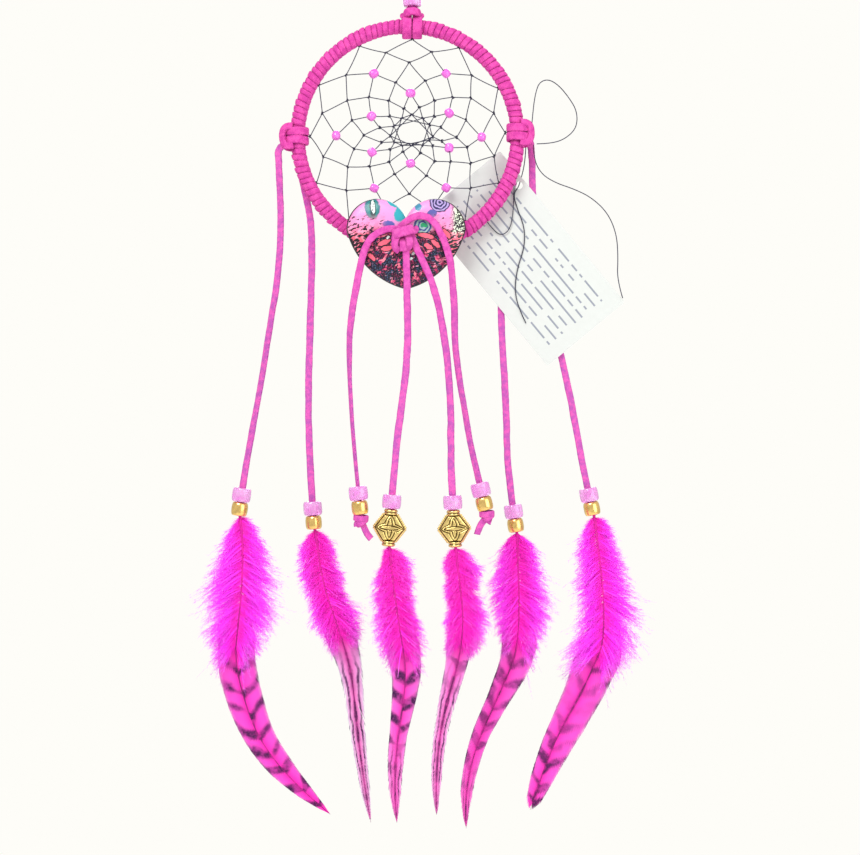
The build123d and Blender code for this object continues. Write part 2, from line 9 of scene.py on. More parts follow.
import bmesh
import bpy
import numpy as np
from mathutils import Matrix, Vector

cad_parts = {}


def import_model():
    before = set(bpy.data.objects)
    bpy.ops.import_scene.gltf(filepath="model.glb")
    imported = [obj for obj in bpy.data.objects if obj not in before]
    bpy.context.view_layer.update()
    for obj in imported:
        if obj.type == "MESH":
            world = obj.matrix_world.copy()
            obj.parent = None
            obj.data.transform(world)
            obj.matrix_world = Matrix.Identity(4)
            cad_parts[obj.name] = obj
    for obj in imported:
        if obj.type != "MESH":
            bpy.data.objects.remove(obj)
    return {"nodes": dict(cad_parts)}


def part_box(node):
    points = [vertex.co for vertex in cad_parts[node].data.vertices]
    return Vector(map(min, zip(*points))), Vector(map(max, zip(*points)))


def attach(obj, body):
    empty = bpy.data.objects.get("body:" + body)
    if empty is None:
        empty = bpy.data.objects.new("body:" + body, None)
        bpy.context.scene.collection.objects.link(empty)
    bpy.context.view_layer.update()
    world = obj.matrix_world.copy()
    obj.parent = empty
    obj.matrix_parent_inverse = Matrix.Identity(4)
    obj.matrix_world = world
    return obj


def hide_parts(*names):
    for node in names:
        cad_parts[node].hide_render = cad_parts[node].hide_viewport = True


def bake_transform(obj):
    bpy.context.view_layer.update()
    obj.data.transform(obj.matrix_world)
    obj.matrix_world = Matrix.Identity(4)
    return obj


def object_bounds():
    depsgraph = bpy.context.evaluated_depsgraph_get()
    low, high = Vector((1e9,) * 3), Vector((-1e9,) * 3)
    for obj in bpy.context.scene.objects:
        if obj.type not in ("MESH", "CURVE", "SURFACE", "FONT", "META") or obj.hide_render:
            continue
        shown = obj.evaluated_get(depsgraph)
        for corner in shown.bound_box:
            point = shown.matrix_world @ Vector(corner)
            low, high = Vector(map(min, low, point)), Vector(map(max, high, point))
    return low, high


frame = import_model()
cad_low, cad_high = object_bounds()

MM = 0.001
core_low, core_high = (np.array(corner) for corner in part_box("ring_core"))
CENTRE = (core_low + core_high) / 2
CORE_RADIUS = (core_high[1] - core_low[1]) / 2 / MM
RING_RADIUS = (core_high[0] - core_low[0]) / 2 / MM - CORE_RADIUS

LACE_WIDTH = 3.2
LACE_THICK = 1.4
FRONT = np.array((0.0, -1.0, 0.0))


# ---- Geometry helpers ---------------------------------------------------------------------------

def cad_box(node):
    """A CAD node's lowest and highest corners, in millimetres about the ring's centre."""
    low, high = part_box(node)
    return (np.array(low) - CENTRE) / MM, (np.array(high) - CENTRE) / MM


def cad_middle(node):
    low, high = cad_box(node)
    return (low + high) / 2


def in_frame(points):
    """Millimetres about the ring's centre to metres in the row frame."""
    return np.asarray(points, float) * MM + CENTRE


def unit(vectors):
    return vectors / (np.linalg.norm(vectors, axis=-1, keepdims=True) + 1e-12)


def even(values, share):
    """The value at a share of the way through an evenly spaced list."""
    return np.interp(share, np.linspace(0, 1, len(values)), values)


def full_turn(count):
    """Even angles round a circle."""
    return np.linspace(0, 2 * math.pi, count, endpoint=False)


def circle(first, second, turn):
    """Directions at these angles, from the first axis towards the second."""
    return first * np.cos(turn)[:, None] + second * np.sin(turn)[:, None]


def signed_power(values, power):
    return np.sign(values) * np.abs(values) ** power


def wander(rng, count, knots):
    """Random values from -1 to 1 that change slowly along a line."""
    values = rng.uniform(-1, 1, knots + 1)
    place = np.linspace(0, knots, count)
    first = np.minimum(place.astype(int), knots - 1)
    share = place - first
    share = share * share * (3 - 2 * share)
    return values[first] * (1 - share) + values[first + 1] * share


def grid_faces(rows, columns, close_rows=False, close_columns=False):
    """Quads between the neighbours in a grid of points."""
    row = np.arange(rows if close_rows else rows - 1)[:, None]
    column = np.arange(columns if close_columns else columns - 1)[None]
    below, beside = (row + 1) % rows * columns, (column + 1) % columns
    corners = (row * columns + column, row * columns + beside, below + beside, below + column)
    return np.stack(corners, -1).reshape(-1, 4)


def capped_faces(rows, columns):
    """The faces of a tube: quads round each step, and one face over each end."""
    ends = range(columns), range(rows * columns - 1, (rows - 1) * columns - 1, -1)
    return [*grid_faces(rows, columns, close_columns=True), *ends]


class Heap:
    """Points, faces and values gathered for one mesh."""

    def __init__(self):
        self.points, self.faces, self.values, self.count = [], [], {}, 0

    def add(self, points, faces, **values):
        points = np.asarray(points, float).reshape(-1, 3)
        self.points.append(points)
        self.faces.extend([int(i) + self.count for i in face] for face in faces)
        for name in values.keys() | self.values.keys():
            given = np.broadcast_to(np.ravel(values.get(name, 0.0)), len(points))
            self.values.setdefault(name, [np.zeros(self.count)]).append(given)
        self.count += len(points)

    def mesh(self, name, material):
        mesh = bpy.data.meshes.new(name)
        mesh.from_pydata(in_frame(np.concatenate(self.points)), [], self.faces)
        for key, parts in self.values.items():
            layer = mesh.attributes.new(key, "FLOAT", "POINT")
            layer.data.foreach_set("value", np.concatenate(parts).astype(np.float32))
        mesh.materials.append(material)
        return mesh

    def piece(self, name, material, body=None, replaces=(), tidy=True):
        """Makes the mesh object in the row frame, hides the CAD parts it replaces and parents it to its body.
        """
        mesh = self.mesh(name, material)
        if tidy:
            turn_outwards(mesh)
        mesh.shade_smooth()
        obj = new_object(name, mesh)
        if replaces:
            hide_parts(*replaces)
        if body:
            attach(obj, body)
        return obj


def new_object(name, data):
    obj = bpy.data.objects.new(name, data)
    bpy.context.scene.collection.objects.link(obj)
    return obj


def turn_outwards(mesh):
    work = bmesh.new()
    work.from_mesh(mesh)
    bmesh.ops.recalc_face_normals(work, faces=work.faces)
    work.to_mesh(mesh)
    work.free()


def smooth_route(points):
    """Points along the NURBS line that has these control points."""
    curve = bpy.data.curves.new("route", "CURVE")
    curve.dimensions = "3D"
    spline = curve.splines.new("NURBS")
    fill_nurbs(spline, points)
    spline.resolution_u = 14
    holder = bpy.data.objects.new("route", curve)
    mesh = bpy.data.meshes.new_from_object(holder)
    line = np.array([vertex.co for vertex in mesh.vertices])
    bpy.data.objects.remove(holder)
    bpy.data.curves.remove(curve)
    bpy.data.meshes.remove(mesh)
    return line


def fill_nurbs(spline, points):
    spline.points.add(len(points) - 1)
    for control, place in zip(spline.points, points):
        control.co = (*place, 1)
    spline.order_u = 3
    spline.use_endpoint_u = True


def directions(line, closed=False):
    """The unit direction of a line at each of its points."""
    if closed:
        return unit(np.roll(line, -1, axis=0) - np.roll(line, 1, axis=0))
    return unit(np.gradient(line, axis=0))


def distances(line):
    steps = np.linalg.norm(np.diff(line, axis=0), axis=1)
    return np.concatenate([[0], np.cumsum(steps)])


def turned(line, facing, degrees):
    """The facing at each point of a line, turned about the line by these degrees."""
    along = directions(line)
    flat = unit(facing - (along @ facing)[:, None] * along)
    side = np.cross(along, flat)
    angle = np.radians(degrees)[:, None]
    return flat * np.cos(angle) + side * np.sin(angle)


LACE_SIDES = 16
LACE_CORNER, LACE_CROWN = 0.38, 0.55   # powers that square off its section, across and through


def lace(heap, line, facing, width=LACE_WIDTH, thick=LACE_THICK, closed=False, seed=0, uneven=0.05, **values):
    """A flat suede lace along a line, with soft corners and slightly uneven edges."""
    line = np.asarray(line, float)
    rng = np.random.default_rng(seed)
    count = len(line)
    along = directions(line, closed)
    facing = np.broadcast_to(facing, line.shape)
    normal = unit(facing - (facing * along).sum(1)[:, None] * along)
    across = np.cross(along, normal)
    turn = full_turn(LACE_SIDES) + math.pi / LACE_SIDES
    x, y = signed_power(np.cos(turn), LACE_CORNER), signed_power(np.sin(turn), LACE_CROWN)
    knots = max(3, int(distances(line)[-1] / 5))
    ends = np.sin(np.linspace(0, math.pi, count)) ** 0.3 if closed else np.ones(count)
    half = width / 2 * (1 + uneven * wander(rng, count, knots) * ends)
    sway = 0.1 * wander(rng, count, knots) * ends
    cup = 0.1 * (1 + wander(rng, count, knots) * ends)
    fray = rng.normal(0, 0.035, (count, LACE_SIDES)) * (np.abs(x) > 0.8)
    sideways = x * half[:, None] + sway[:, None] + fray
    out = y * thick / 2 - cup[:, None] * x ** 2
    points = line[:, None] + across[:, None] * sideways[..., None] + normal[:, None] * out[..., None]
    faces = grid_faces(count, LACE_SIDES, True, True) if closed else capped_faces(count, LACE_SIDES)
    # edge marks the lace's sides, which the suede paints darker: partly real cut edges, partly painted shade
    edge = np.broadcast_to(np.clip((np.abs(x) - 0.75) * 4, 0, 1), (count, LACE_SIDES))
    values = {key: np.repeat(np.broadcast_to(value, count), LACE_SIDES) for key, value in values.items()}
    heap.add(points, faces, edge=edge, **values)


def tube(heap, line, radius, sides=6, **values):
    """A thin round thread along a line."""
    line = np.asarray(line, float)
    along = directions(line)
    aside = np.where(np.abs(along[:, 1:2]) > 0.9, (1.0, 0, 0), (0, 1.0, 0))
    first = unit(np.cross(along, aside))
    second = np.cross(along, first)
    radius = np.broadcast_to(radius, len(line))[:, None, None]
    points = line[:, None] + radius * circle(first[:, None], second[:, None], full_turn(sides))
    heap.add(points, capped_faces(len(line), sides), **values)


def lathe(heap, profile, centre, axis, segments=32, closed=True, **values):
    """Turns radius and height pairs about an axis. An open profile starts and ends on the axis."""
    axis = unit(np.asarray(axis, float))
    first = unit(np.cross(axis, (0, 1.0, 0) if abs(axis[1]) < 0.9 else (1.0, 0, 0)))
    second = np.cross(axis, first)
    round_it = circle(first, second, full_turn(segments))
    radius, height = np.asarray(profile, float).T
    points = np.asarray(centre) + radius[:, None, None] * round_it + (height[:, None] * axis)[:, None]
    faces = grid_faces(len(radius), segments, close_rows=closed, close_columns=True)
    values = {key: np.repeat(np.broadcast_to(value, len(radius)), segments) for key, value in values.items()}
    heap.add(points, faces, **values)


def bead_profile(radius, bore, height, corner, count=28):
    """A closed outline of a bead's wall. corner is from 2, an ellipse, towards a square."""
    turn = full_turn(count)
    wall, rise = signed_power(np.cos(turn), 2 / corner), signed_power(np.sin(turn), 2 / corner)
    return np.stack([(radius + bore) / 2 + (radius - bore) / 2 * wall, height / 2 * rise], 1)


def ball_profile(radius, count=9):
    turn = np.linspace(-math.pi / 2, math.pi / 2, count)
    return np.stack([radius * np.cos(turn) + 1e-4, radius * np.sin(turn)], 1)


# ---- Materials ----------------------------------------------------------------------------------

class Paint:
    """A material being made. Each method returns an output socket to use as another's input."""

    def __init__(self, name, **settings):
        self.material = bpy.data.materials.new(name)
        self.material.use_nodes = True
        self.tree = self.material.node_tree
        self.shader = self.tree.nodes["Principled BSDF"]
        for key, value in settings.items():
            self.set(self.shader.inputs[key.replace("_", " ")], value)

    def set(self, socket, value):
        if isinstance(value, bpy.types.NodeSocket):
            self.tree.links.new(value, socket)
        elif isinstance(value, tuple) and socket.type == "RGBA":
            socket.default_value = (*value, 1)
        else:
            socket.default_value = value

    def node(self, kind, inputs, **settings):
        node = self.tree.nodes.new("ShaderNode" + kind)
        for key, value in settings.items():
            setattr(node, key, value)
        for key, value in inputs.items():
            self.set(node.inputs[key], value)
        return node

    def place(self):
        return self.node("TexCoord", {}).outputs["Object"]

    def value(self, name):
        return self.node("Attribute", {}, attribute_name=name).outputs["Fac"]

    def noise(self, scale, detail=3.0, rough=0.55, at=None, colour=False):
        """Noise whose features are about 1000 / scale millimetres across."""
        node = self.node("TexNoise", {"Vector": at or self.place(), "Scale": float(scale), "Detail": detail,
                                      "Roughness": rough})
        return node.outputs["Color" if colour else "Fac"]

    def math(self, operation, a, b=0.0, clamp=False):
        return self.node("Math", {0: a, 1: b}, operation=operation, use_clamp=clamp).outputs[0]

    def times(self, a, b, clamp=False):
        return self.math("MULTIPLY", a, b, clamp)

    def plus(self, a, b):
        return self.math("ADD", a, b)

    def minus(self, a, b):
        return self.math("SUBTRACT", a, b)

    def above(self, value, limit):
        return self.math("GREATER_THAN", value, limit)

    def below(self, value, limit):
        return self.math("LESS_THAN", value, limit)

    def squared(self, value):
        return self.math("POWER", value, 2.0)

    def parts(self, vector):
        return self.node("SeparateXYZ", {"Vector": vector}).outputs

    def vector(self, operation, a, b):
        return self.node("VectorMath", {0: a, 1: b}, operation=operation).outputs[0]

    def leant(self, vector, angle):
        """A vector turned about the Y axis."""
        return self.node("VectorRotate", {"Vector": vector, "Axis": (0, 1, 0), "Angle": angle}).outputs[0]

    def ramp(self, value, low, high, to_low=0.0, to_high=1.0):
        """Goes smoothly from to_low at low to to_high at high."""
        node = self.node("MapRange", {"Value": value, "From Min": low, "From Max": high, "To Min": to_low,
                                      "To Max": to_high}, interpolation_type="SMOOTHSTEP")
        return node.outputs["Result"]

    def mix(self, share, a, b):
        node = self.node("Mix", {0: share, 6: a, 7: b}, data_type="RGBA")
        return node.outputs[2]

    def colour(self, socket):
        self.set(self.shader.inputs["Base Color"], socket)

    def rough(self, value):
        self.set(self.shader.inputs["Roughness"], value)

    def bump(self, height, depth, strength=1.0):
        """Depth is in millimetres."""
        node = self.node("Bump", {"Height": height, "Distance": depth * MM, "Strength": strength})
        self.set(self.shader.inputs["Normal"], node.outputs["Normal"])


def suede(name, bright, plain, deep, faded=None):
    """Dyed suede lace: mottled, with a short nap and darker speckled edges, which are partly the cut edges'
    own colour and partly painted shade on the lace's sides. faded is its colour further down.
    """
    paint = Paint(name, Sheen_Weight=0.25, Sheen_Roughness=0.4, Specular_IOR_Level=0.2)
    paint.set(paint.shader.inputs["Sheen Tint"], bright)
    mottle = paint.ramp(paint.noise(420, 4.0), 0.36, 0.66)
    colour = paint.mix(mottle, plain, bright)
    if faded:
        colour = paint.mix(paint.value("fade"), colour, paint.mix(mottle, faded, bright))
    speck = paint.ramp(paint.noise(2100, 3.0, 0.7), 0.50, 0.64)
    # edge darkens the speckle at the lace's sides: partly the cut edges' own colour, partly painted shade
    # where the sides turn from the light
    edge = paint.times(paint.value("edge"), 0.75)
    dark = paint.times(speck, paint.plus(edge, 0.22), clamp=True)
    paint.colour(paint.mix(dark, colour, deep))
    paint.rough(paint.ramp(mottle, 0, 1, 0.82, 0.96))
    nap = paint.plus(paint.noise(5200, 2.0), paint.times(paint.noise(1300, 3.0), 1.5))
    paint.bump(nap, 0.12, 0.7)
    return paint.material


def thread_paint():
    """Waxed dark thread: two plies, with a faint twist."""
    paint = Paint("thread_dark", Roughness=0.6, Specular_IOR_Level=0.35)
    ply = paint.noise(2600, 2.0)
    paint.colour(paint.mix(paint.ramp(ply, 0.35, 0.7), (0.012, 0.012, 0.03), (0.055, 0.055, 0.095)))
    paint.bump(ply, 0.08, 0.6)
    return paint.material


def plastic_pink(name, pale, deep, clear):
    """Clear pink plastic, a little cloudy, with moulding waves."""
    paint = Paint(name, Transmission_Weight=clear, IOR=1.45, Coat_Weight=0.4, Coat_Roughness=0.05)
    cloud = paint.ramp(paint.noise(260, 2.0), 0.35, 0.7)
    paint.colour(paint.mix(cloud, deep, pale))
    paint.rough(paint.ramp(paint.noise(900, 3.0), 0.3, 0.7, 0.06, 0.2))
    paint.bump(paint.noise(220, 1.0), 0.03, 0.2)
    return paint.material


def gold_paint(name, light, dark, wear):
    """Plated metal: small dents, and dark patina in the hollows."""
    paint = Paint(name, Metallic=1.0)
    patch = paint.ramp(paint.noise(500, 4.0), 0.35, 0.7)
    colour = paint.mix(patch, tuple(0.8 * part for part in light), light)
    stain = paint.times(paint.ramp(paint.noise(1500, 4.0), 0.5, 0.75), wear)
    stain = paint.math("MAXIMUM", stain, paint.value("groove"))
    paint.colour(paint.mix(stain, colour, dark))
    paint.rough(paint.ramp(paint.noise(1200, 4.0), 0.3, 0.75, 0.16, 0.34))
    paint.bump(paint.noise(420, 2.0), 0.06, 0.35)
    return paint.material


def ring_metal():
    paint = Paint("ring_metal", Metallic=1.0)
    paint.colour(paint.mix(paint.noise(700, 4.0), (0.42, 0.41, 0.39), (0.62, 0.61, 0.58)))
    paint.rough(paint.ramp(paint.noise(1600, 3.0), 0.3, 0.7, 0.25, 0.45))
    return paint.material


CARD_TILT = math.radians(50.4)
RULE_STEP, RULE_HALF = 3.9, 0.11      # from one rule to the next, and half a rule's share of that
FIRST_RULE, RULES = -18.0, 9
RULE_REACH, WORD_STEP = 38.0, 1.9
WORD_SHIFT, WORD_SEED = 7.31, 3.7     # so that no two rules are broken alike
GAP_SHARE, RULE_INK = 0.27, 0.6


def card_paint():
    """Uncoated white card, with broken rules where a tag has its print."""
    paint = Paint("card_white", Roughness=0.85, Specular_IOR_Level=0.25)
    offset = paint.vector("SUBTRACT", paint.place(), tuple(in_frame(cad_middle("tag_card"))))
    parts = paint.parts(paint.leant(offset, -CARD_TILT))
    along, up = (paint.math("DIVIDE", parts[axis], MM) for axis in ("X", "Z"))
    row = paint.math("DIVIDE", paint.plus(up, -FIRST_RULE), RULE_STEP)
    number = paint.math("FLOOR", row)
    line = paint.math("COMPARE", paint.math("FRACT", row), 0.5)
    line.node.inputs[2].default_value = RULE_HALF
    words = paint.plus(paint.math("DIVIDE", along, WORD_STEP), paint.times(number, WORD_SHIFT))
    word = paint.math("FLOOR", words)
    chance = paint.node("TexWhiteNoise", {"W": paint.plus(word, paint.times(number, WORD_SEED))},
                        noise_dimensions="1D").outputs["Value"]
    inside = paint.below(paint.math("ABSOLUTE", along), RULE_REACH)
    rows = paint.times(paint.above(number, -0.5), paint.below(number, RULES - 0.5))
    shown = paint.times(paint.times(line, paint.above(chance, GAP_SHARE)), paint.times(inside, rows))
    front = paint.below(parts["Y"], 0.0)
    shown = paint.times(paint.times(shown, front), RULE_INK)
    paper = paint.mix(paint.noise(350, 5.0), (0.585, 0.61, 0.585), (0.625, 0.65, 0.625))
    paint.colour(paint.mix(shown, paper, (0.05, 0.07, 0.17)))
    paint.bump(paint.noise(2500, 4.0), 0.03, 0.4)
    return paint.material


def feather_paint(name, core, side, pale, dark):
    """Dyed feather. The mesh says how near the shaft, how pale and how dark each barb is."""
    paint = Paint(name, Roughness=0.65, Specular_IOR_Level=0.2, Sheen_Weight=0.15, Sheen_Roughness=0.5)
    streak = paint.noise(1500, 2.0)
    blotch = paint.ramp(paint.noise(230, 3.0), 0.36, 0.56, 0.55, 1.0)
    colour = paint.mix(paint.value("core"), side, core)
    colour = paint.mix(paint.value("pale"), colour, pale)
    ink = paint.times(blotch, paint.ramp(streak, 0.2, 0.6, 0.75, 1.0))
    ink = paint.times(paint.value("dark"), ink, clamp=True)
    paint.colour(paint.mix(ink, colour, dark))
    paint.bump(streak, 0.05, 0.4)
    return paint.material


SUEDE_WRAP = suede("suede_wrap", (0.76, 0.085, 0.40), (0.58, 0.045, 0.31), (0.13, 0.003, 0.12))
SUEDE_LACE = suede("suede_lace", (0.74, 0.115, 0.45), (0.60, 0.065, 0.36), (0.17, 0.01, 0.17),
                   (0.46, 0.09, 0.40))
THREAD = thread_paint()
PONY = plastic_pink("plastic_pony", (1.0, 0.58, 0.96), (0.96, 0.36, 0.86), 0.5)
WEB_BEAD = plastic_pink("plastic_web_bead", (0.90, 0.20, 0.76), (0.84, 0.14, 0.68), 0.15)
GOLD = gold_paint("gold_bright", (0.98, 0.66, 0.22), (0.20, 0.09, 0.02), 0.25)
ANTIQUE = gold_paint("gold_antique", (0.95, 0.72, 0.26), (0.05, 0.02, 0.004), 0.12)
CARD = card_paint()
DOWN = feather_paint("feather_down", (1.0, 0.0, 0.58), (1.0, 0.025, 0.94), (0.95, 0.42, 0.95),
                     (0.12, 0.06, 0.22))
VANE = feather_paint("feather_vane", (0.84, 0.015, 0.42), (0.86, 0.05, 0.54), (0.70, 0.55, 0.74),
                     (0.04, 0.004, 0.055))


# ---- Camera, light and floor --------------------------------------------------------------------

VIEW_CENTRE = (10.2, -132.9)
VIEW_DISTANCE = 0.927
FLOOR_DROP = 0.33
FLOOR_RADIUS = 1.5
FLOOR_THICK = 20
LENS = 85
# Name, place, size, power.
LIGHTS = (("key", (-0.5, -1.1, 0.75), 0.7, 16), ("fill", (0.9, -0.9, -0.1), 0.9, 6),
          ("back", (0.1, 1.1, 0.5), 0.9, 9))
LIT_SPOT = np.array((0.01, 0, CENTRE[2] - 0.12))


def camera():
    data = bpy.data.cameras.new("camera")
    data.lens = LENS
    obj = new_object("camera", data)
    obj.location = in_frame((VIEW_CENTRE[0], -VIEW_DISTANCE / MM, VIEW_CENTRE[1]))
    obj.rotation_euler = (math.pi / 2, 0, 0)
    bpy.context.scene.camera = obj


def area_light(name, place, size, power):
    """A soft square light that faces the middle of the object."""
    data = bpy.data.lights.new(name, "AREA")
    data.size, data.energy = size, power
    obj = new_object(name, data)
    obj.location = place
    obj.rotation_euler = Vector(LIT_SPOT - np.array(place)).to_track_quat("-Z", "Y").to_euler()


def world():
    """White to the eye, and softer as a light."""
    scene = bpy.context.scene
    scene.world = bpy.data.worlds.new("studio")
    scene.world.use_nodes = True
    tree = scene.world.node_tree
    seen = tree.nodes["Background"]
    seen.inputs["Color"].default_value = (0.991, 0.982, 0.939, 1)
    lit = tree.nodes.new("ShaderNodeBackground")
    lit.inputs["Color"].default_value = (1, 0.99, 0.98, 1)
    lit.inputs["Strength"].default_value = 0.75
    path = tree.nodes.new("ShaderNodeLightPath")
    both = tree.nodes.new("ShaderNodeMixShader")
    tree.links.new(path.outputs["Is Camera Ray"], both.inputs[0])
    tree.links.new(lit.outputs[0], both.inputs[1])
    tree.links.new(seen.outputs[0], both.inputs[2])
    tree.links.new(both.outputs[0], tree.nodes["World Output"].inputs["Surface"])
    scene.view_settings.view_transform = "Standard"


def floor():
    """A wide pale disc under the hanging object."""
    heap = Heap()
    height = (cad_low[2] - CENTRE[2] - FLOOR_DROP) / MM
    below, edge = height - FLOOR_THICK, FLOOR_RADIUS / MM
    profile = [(0.01, height), (edge, height), (edge, below), (0.01, below)]
    lathe(heap, profile, (0, 0, 0), (0, 0, 1), segments=64)
    paint = Paint("floor_pale", Roughness=0.9)
    paint.colour(paint.mix(paint.noise(9, 3.0), (0.86, 0.85, 0.84), (0.92, 0.915, 0.90)))
    new_object("floor", heap.mesh("floor", paint.material))


camera()
world()
floor()
for light in LIGHTS:
    area_light(*light)


# ---- Laces --------------------------------------------------------------------------------------

HEART_LACE_Y = -14.8
BEHIND_RING_Y = 5.2
BEHIND_CARD_Y = 7.6


def level(y, *places, first=0.0):
    """Points at one depth, from X and Z pairs. first moves the first of them."""
    return [(x, y if n else y + first, z) for n, (x, z) in enumerate(places)]


# Each tassel's lace starts in its knot and hangs through its beads: its depth, its way out of the knot,
# X and Z on the way down, and its twist in degrees at even steps.
STRANDS = {
    1: (0.0, [(-54.4, -0.6, -4.2), (-57.0, -0.4, -4.0), (-59.2, -0.1, -6.2)],
        [(-58.9, -12), (-58.3, -26), (-57.8, -42), (-59, -62), (-63, -88), (-66.9, -112), (-70.9, -134),
         (-74, -150.5), (-76.7, -170.1)], (0, 35, 20, 30, 42, 40, 30, 15)),
    2: (BEHIND_RING_Y, [(-51.4, 4.6, -1.0)],
        [(-50.6, -8), (-48.3, -20), (-45.4, -32.5), (-43.8, -46), (-44.3, -72), (-45.3, -98), (-45.8, -124),
         (-44.9, -150.5), (-43.2, -176.5)], (0, 0, -8, 4, 12, 0, -6, 4)),
    3: (HEART_LACE_Y, level(HEART_LACE_Y, (-1.0, -44.6), (-4.6, -43.7), (-9.5, -43.6), (-14.6, -46),
                            (-18.3, -50.3), first=0.2),
        [(-20.5, -57.3), (-23.4, -72), (-25.6, -86), (-26.3, -99), (-25.6, -119), (-24.1, -142.5),
         (-21.3, -168.9)], (0, 0, 10, 40, 68, 72, 74, 70)),
    4: (HEART_LACE_Y, level(HEART_LACE_Y, (-1.2, -45.5), (-0.9, -50.8)),
        [(-0.3, -57.3), (-0.1, -74), (0.3, -92), (-0.5, -107), (-2.9, -125), (-5.6, -148), (-7.9, -177.9)],
        (0, 0, 6, 12, 4, -8, 0)),
    5: (HEART_LACE_Y, level(HEART_LACE_Y, (1.6, -45.5), (3.4, -51)),
        [(6.6, -57.3), (11.4, -68), (14.7, -81), (17.4, -97), (18.9, -113), (19.6, -130), (19.5, -151),
         (21.1, -178.3)], (0, 0, 14, 22, 18, 8, 0)),
    6: (HEART_LACE_Y, level(HEART_LACE_Y, (-4.4, -44.4), (-0.6, -39.8), (5.6, -37.2), (11, -39.2),
                            (14.6, -44.6), (17.3, -50.6), first=0.4),
        [(19.3, -57.3), (20.9, -73), (21.2, -89), (22.1, -104), (25, -121), (29, -145), (34.6, -167.1)],
        (0, 0, 8, 24, 40, 48, 40, 20)),
    7: (BEHIND_CARD_Y, [(50.8, 4.8, 1.4), (50.6, 7.3, -1.6)],
        [(50.5, -6), (48.4, -22), (45, -42), (42.9, -62), (42.9, -84), (44.5, -111), (45.5, -133),
         (45.9, -153), (49.6, -177.9)], (0, 0, 0, 8, 10, -6, 0)),
    8: (BEHIND_CARD_Y, [(55.4, 2.6, 1.2), (56.2, 6.2, -1.4)],
        [(57.1, -6), (57.3, -21), (58.3, -39), (61.2, -59), (65.6, -80), (71, -102), (75.4, -122),
         (79.9, -147.5), (84.7, -170.2)], (0, 8, 16, 20, 8, -6, 0)),
}
# From the knot to the end bead.
FEATHERED = (1, 2, 4, 5, 7, 8)
KNOTTED = (3, 6)
HEART_TIED = (3, 4, 5, 6)
INTO_DIAMOND, THROUGH_GOLD = 4.0, 4.2   # where a lace ends, from the middle of its last bead
END_BEADS = {number: f"{'diamond' if number in (4, 5) else 'gold'}_bead_{number}" for number in STRANDS}


def hang_axis(number):
    """Up the lace through a tassel's beads."""
    (x0, z0), (x1, z1) = STRANDS[number][2][-2:]
    return unit(np.array((x0 - x1, 0, z0 - z1), float))


def tassel_lace(number):
    y, lead_in, drop, twists = STRANDS[number]
    hanging = level(y, *drop)
    route = lead_in + hanging
    bead = END_BEADS[number]
    if bead.startswith("diamond"):
        route[-1] = tuple(cad_middle(bead) + hang_axis(number) * INTO_DIAMOND)
    elif number in HEART_TIED:
        route[-1] = tuple(cad_middle(bead) - hang_axis(number) * THROUGH_GOLD)
    line = smooth_route(route)
    share = distances(line) / distances(line)[-1]
    height = line[:, 2]
    fade = np.clip((-50 - height) / 60 if number in HEART_TIED else 0.7 - height / 300, 0, 1)
    heap = Heap()
    lace(heap, line, turned(line, FRONT, even(twists, share)), seed=number, width=3.15, thick=1.35, fade=fade)
    nodes = [f"strand_{number}"] + ([f"heart_lace_{number}"] if number in HEART_TIED else [])
    obj = heap.piece(f"lace_{number}", SUEDE_LACE, replaces=nodes)
    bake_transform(obj)
    return obj, line


tassel_laces = {number: tassel_lace(number) for number in STRANDS}

STEM_X = cad_middle("top_knot")[0]
HANGING_ROUTE = [(STEM_X, 0.75, 57), (STEM_X, 0.75, 63), (1.0, 0.6, 69), (-2.2, 0, 76.5), (-7.6, 0, 91),
                 (-11.2, 0, 108), (-11, 0, 127), (-7.4, 0, 138.8), (0, 0, 142.3), (7.6, 0, 138.6),
                 (11.6, 0, 126), (12.3, 0, 107), (9.6, 0, 90), (5.8, 0, 76), (3.2, -0.6, 69),
                 (STEM_X, -0.75, 63), (STEM_X, -0.75, 57)]
# Degrees at shares of its length.
HANGING_TWIST = ((0, 0.1, 0.3, 0.5, 0.7, 0.9, 1), (0, 0, 35, 0, -25, 0, 0))


def hanging_lace():
    heap = Heap()
    line = smooth_route(HANGING_ROUTE)
    twist = np.interp(np.linspace(0, 1, len(line)), *HANGING_TWIST)
    lace(heap, line, turned(line, FRONT, twist), seed=40, width=3.05, thick=1.3, fade=0.3)
    obj = heap.piece("lace_hanging", SUEDE_LACE, body="hanger", replaces=["hanging_lace"])


# ---- Tag threads --------------------------------------------------------------------------------

TAG_THREAD_RADIUS = 0.225
FRONT_OF_CARD_Y = 4.855
UNDER_THREAD_Y = 4.285
BACK_OF_CARD_Y = 5.875
LONG_THREAD_Y = 4.5
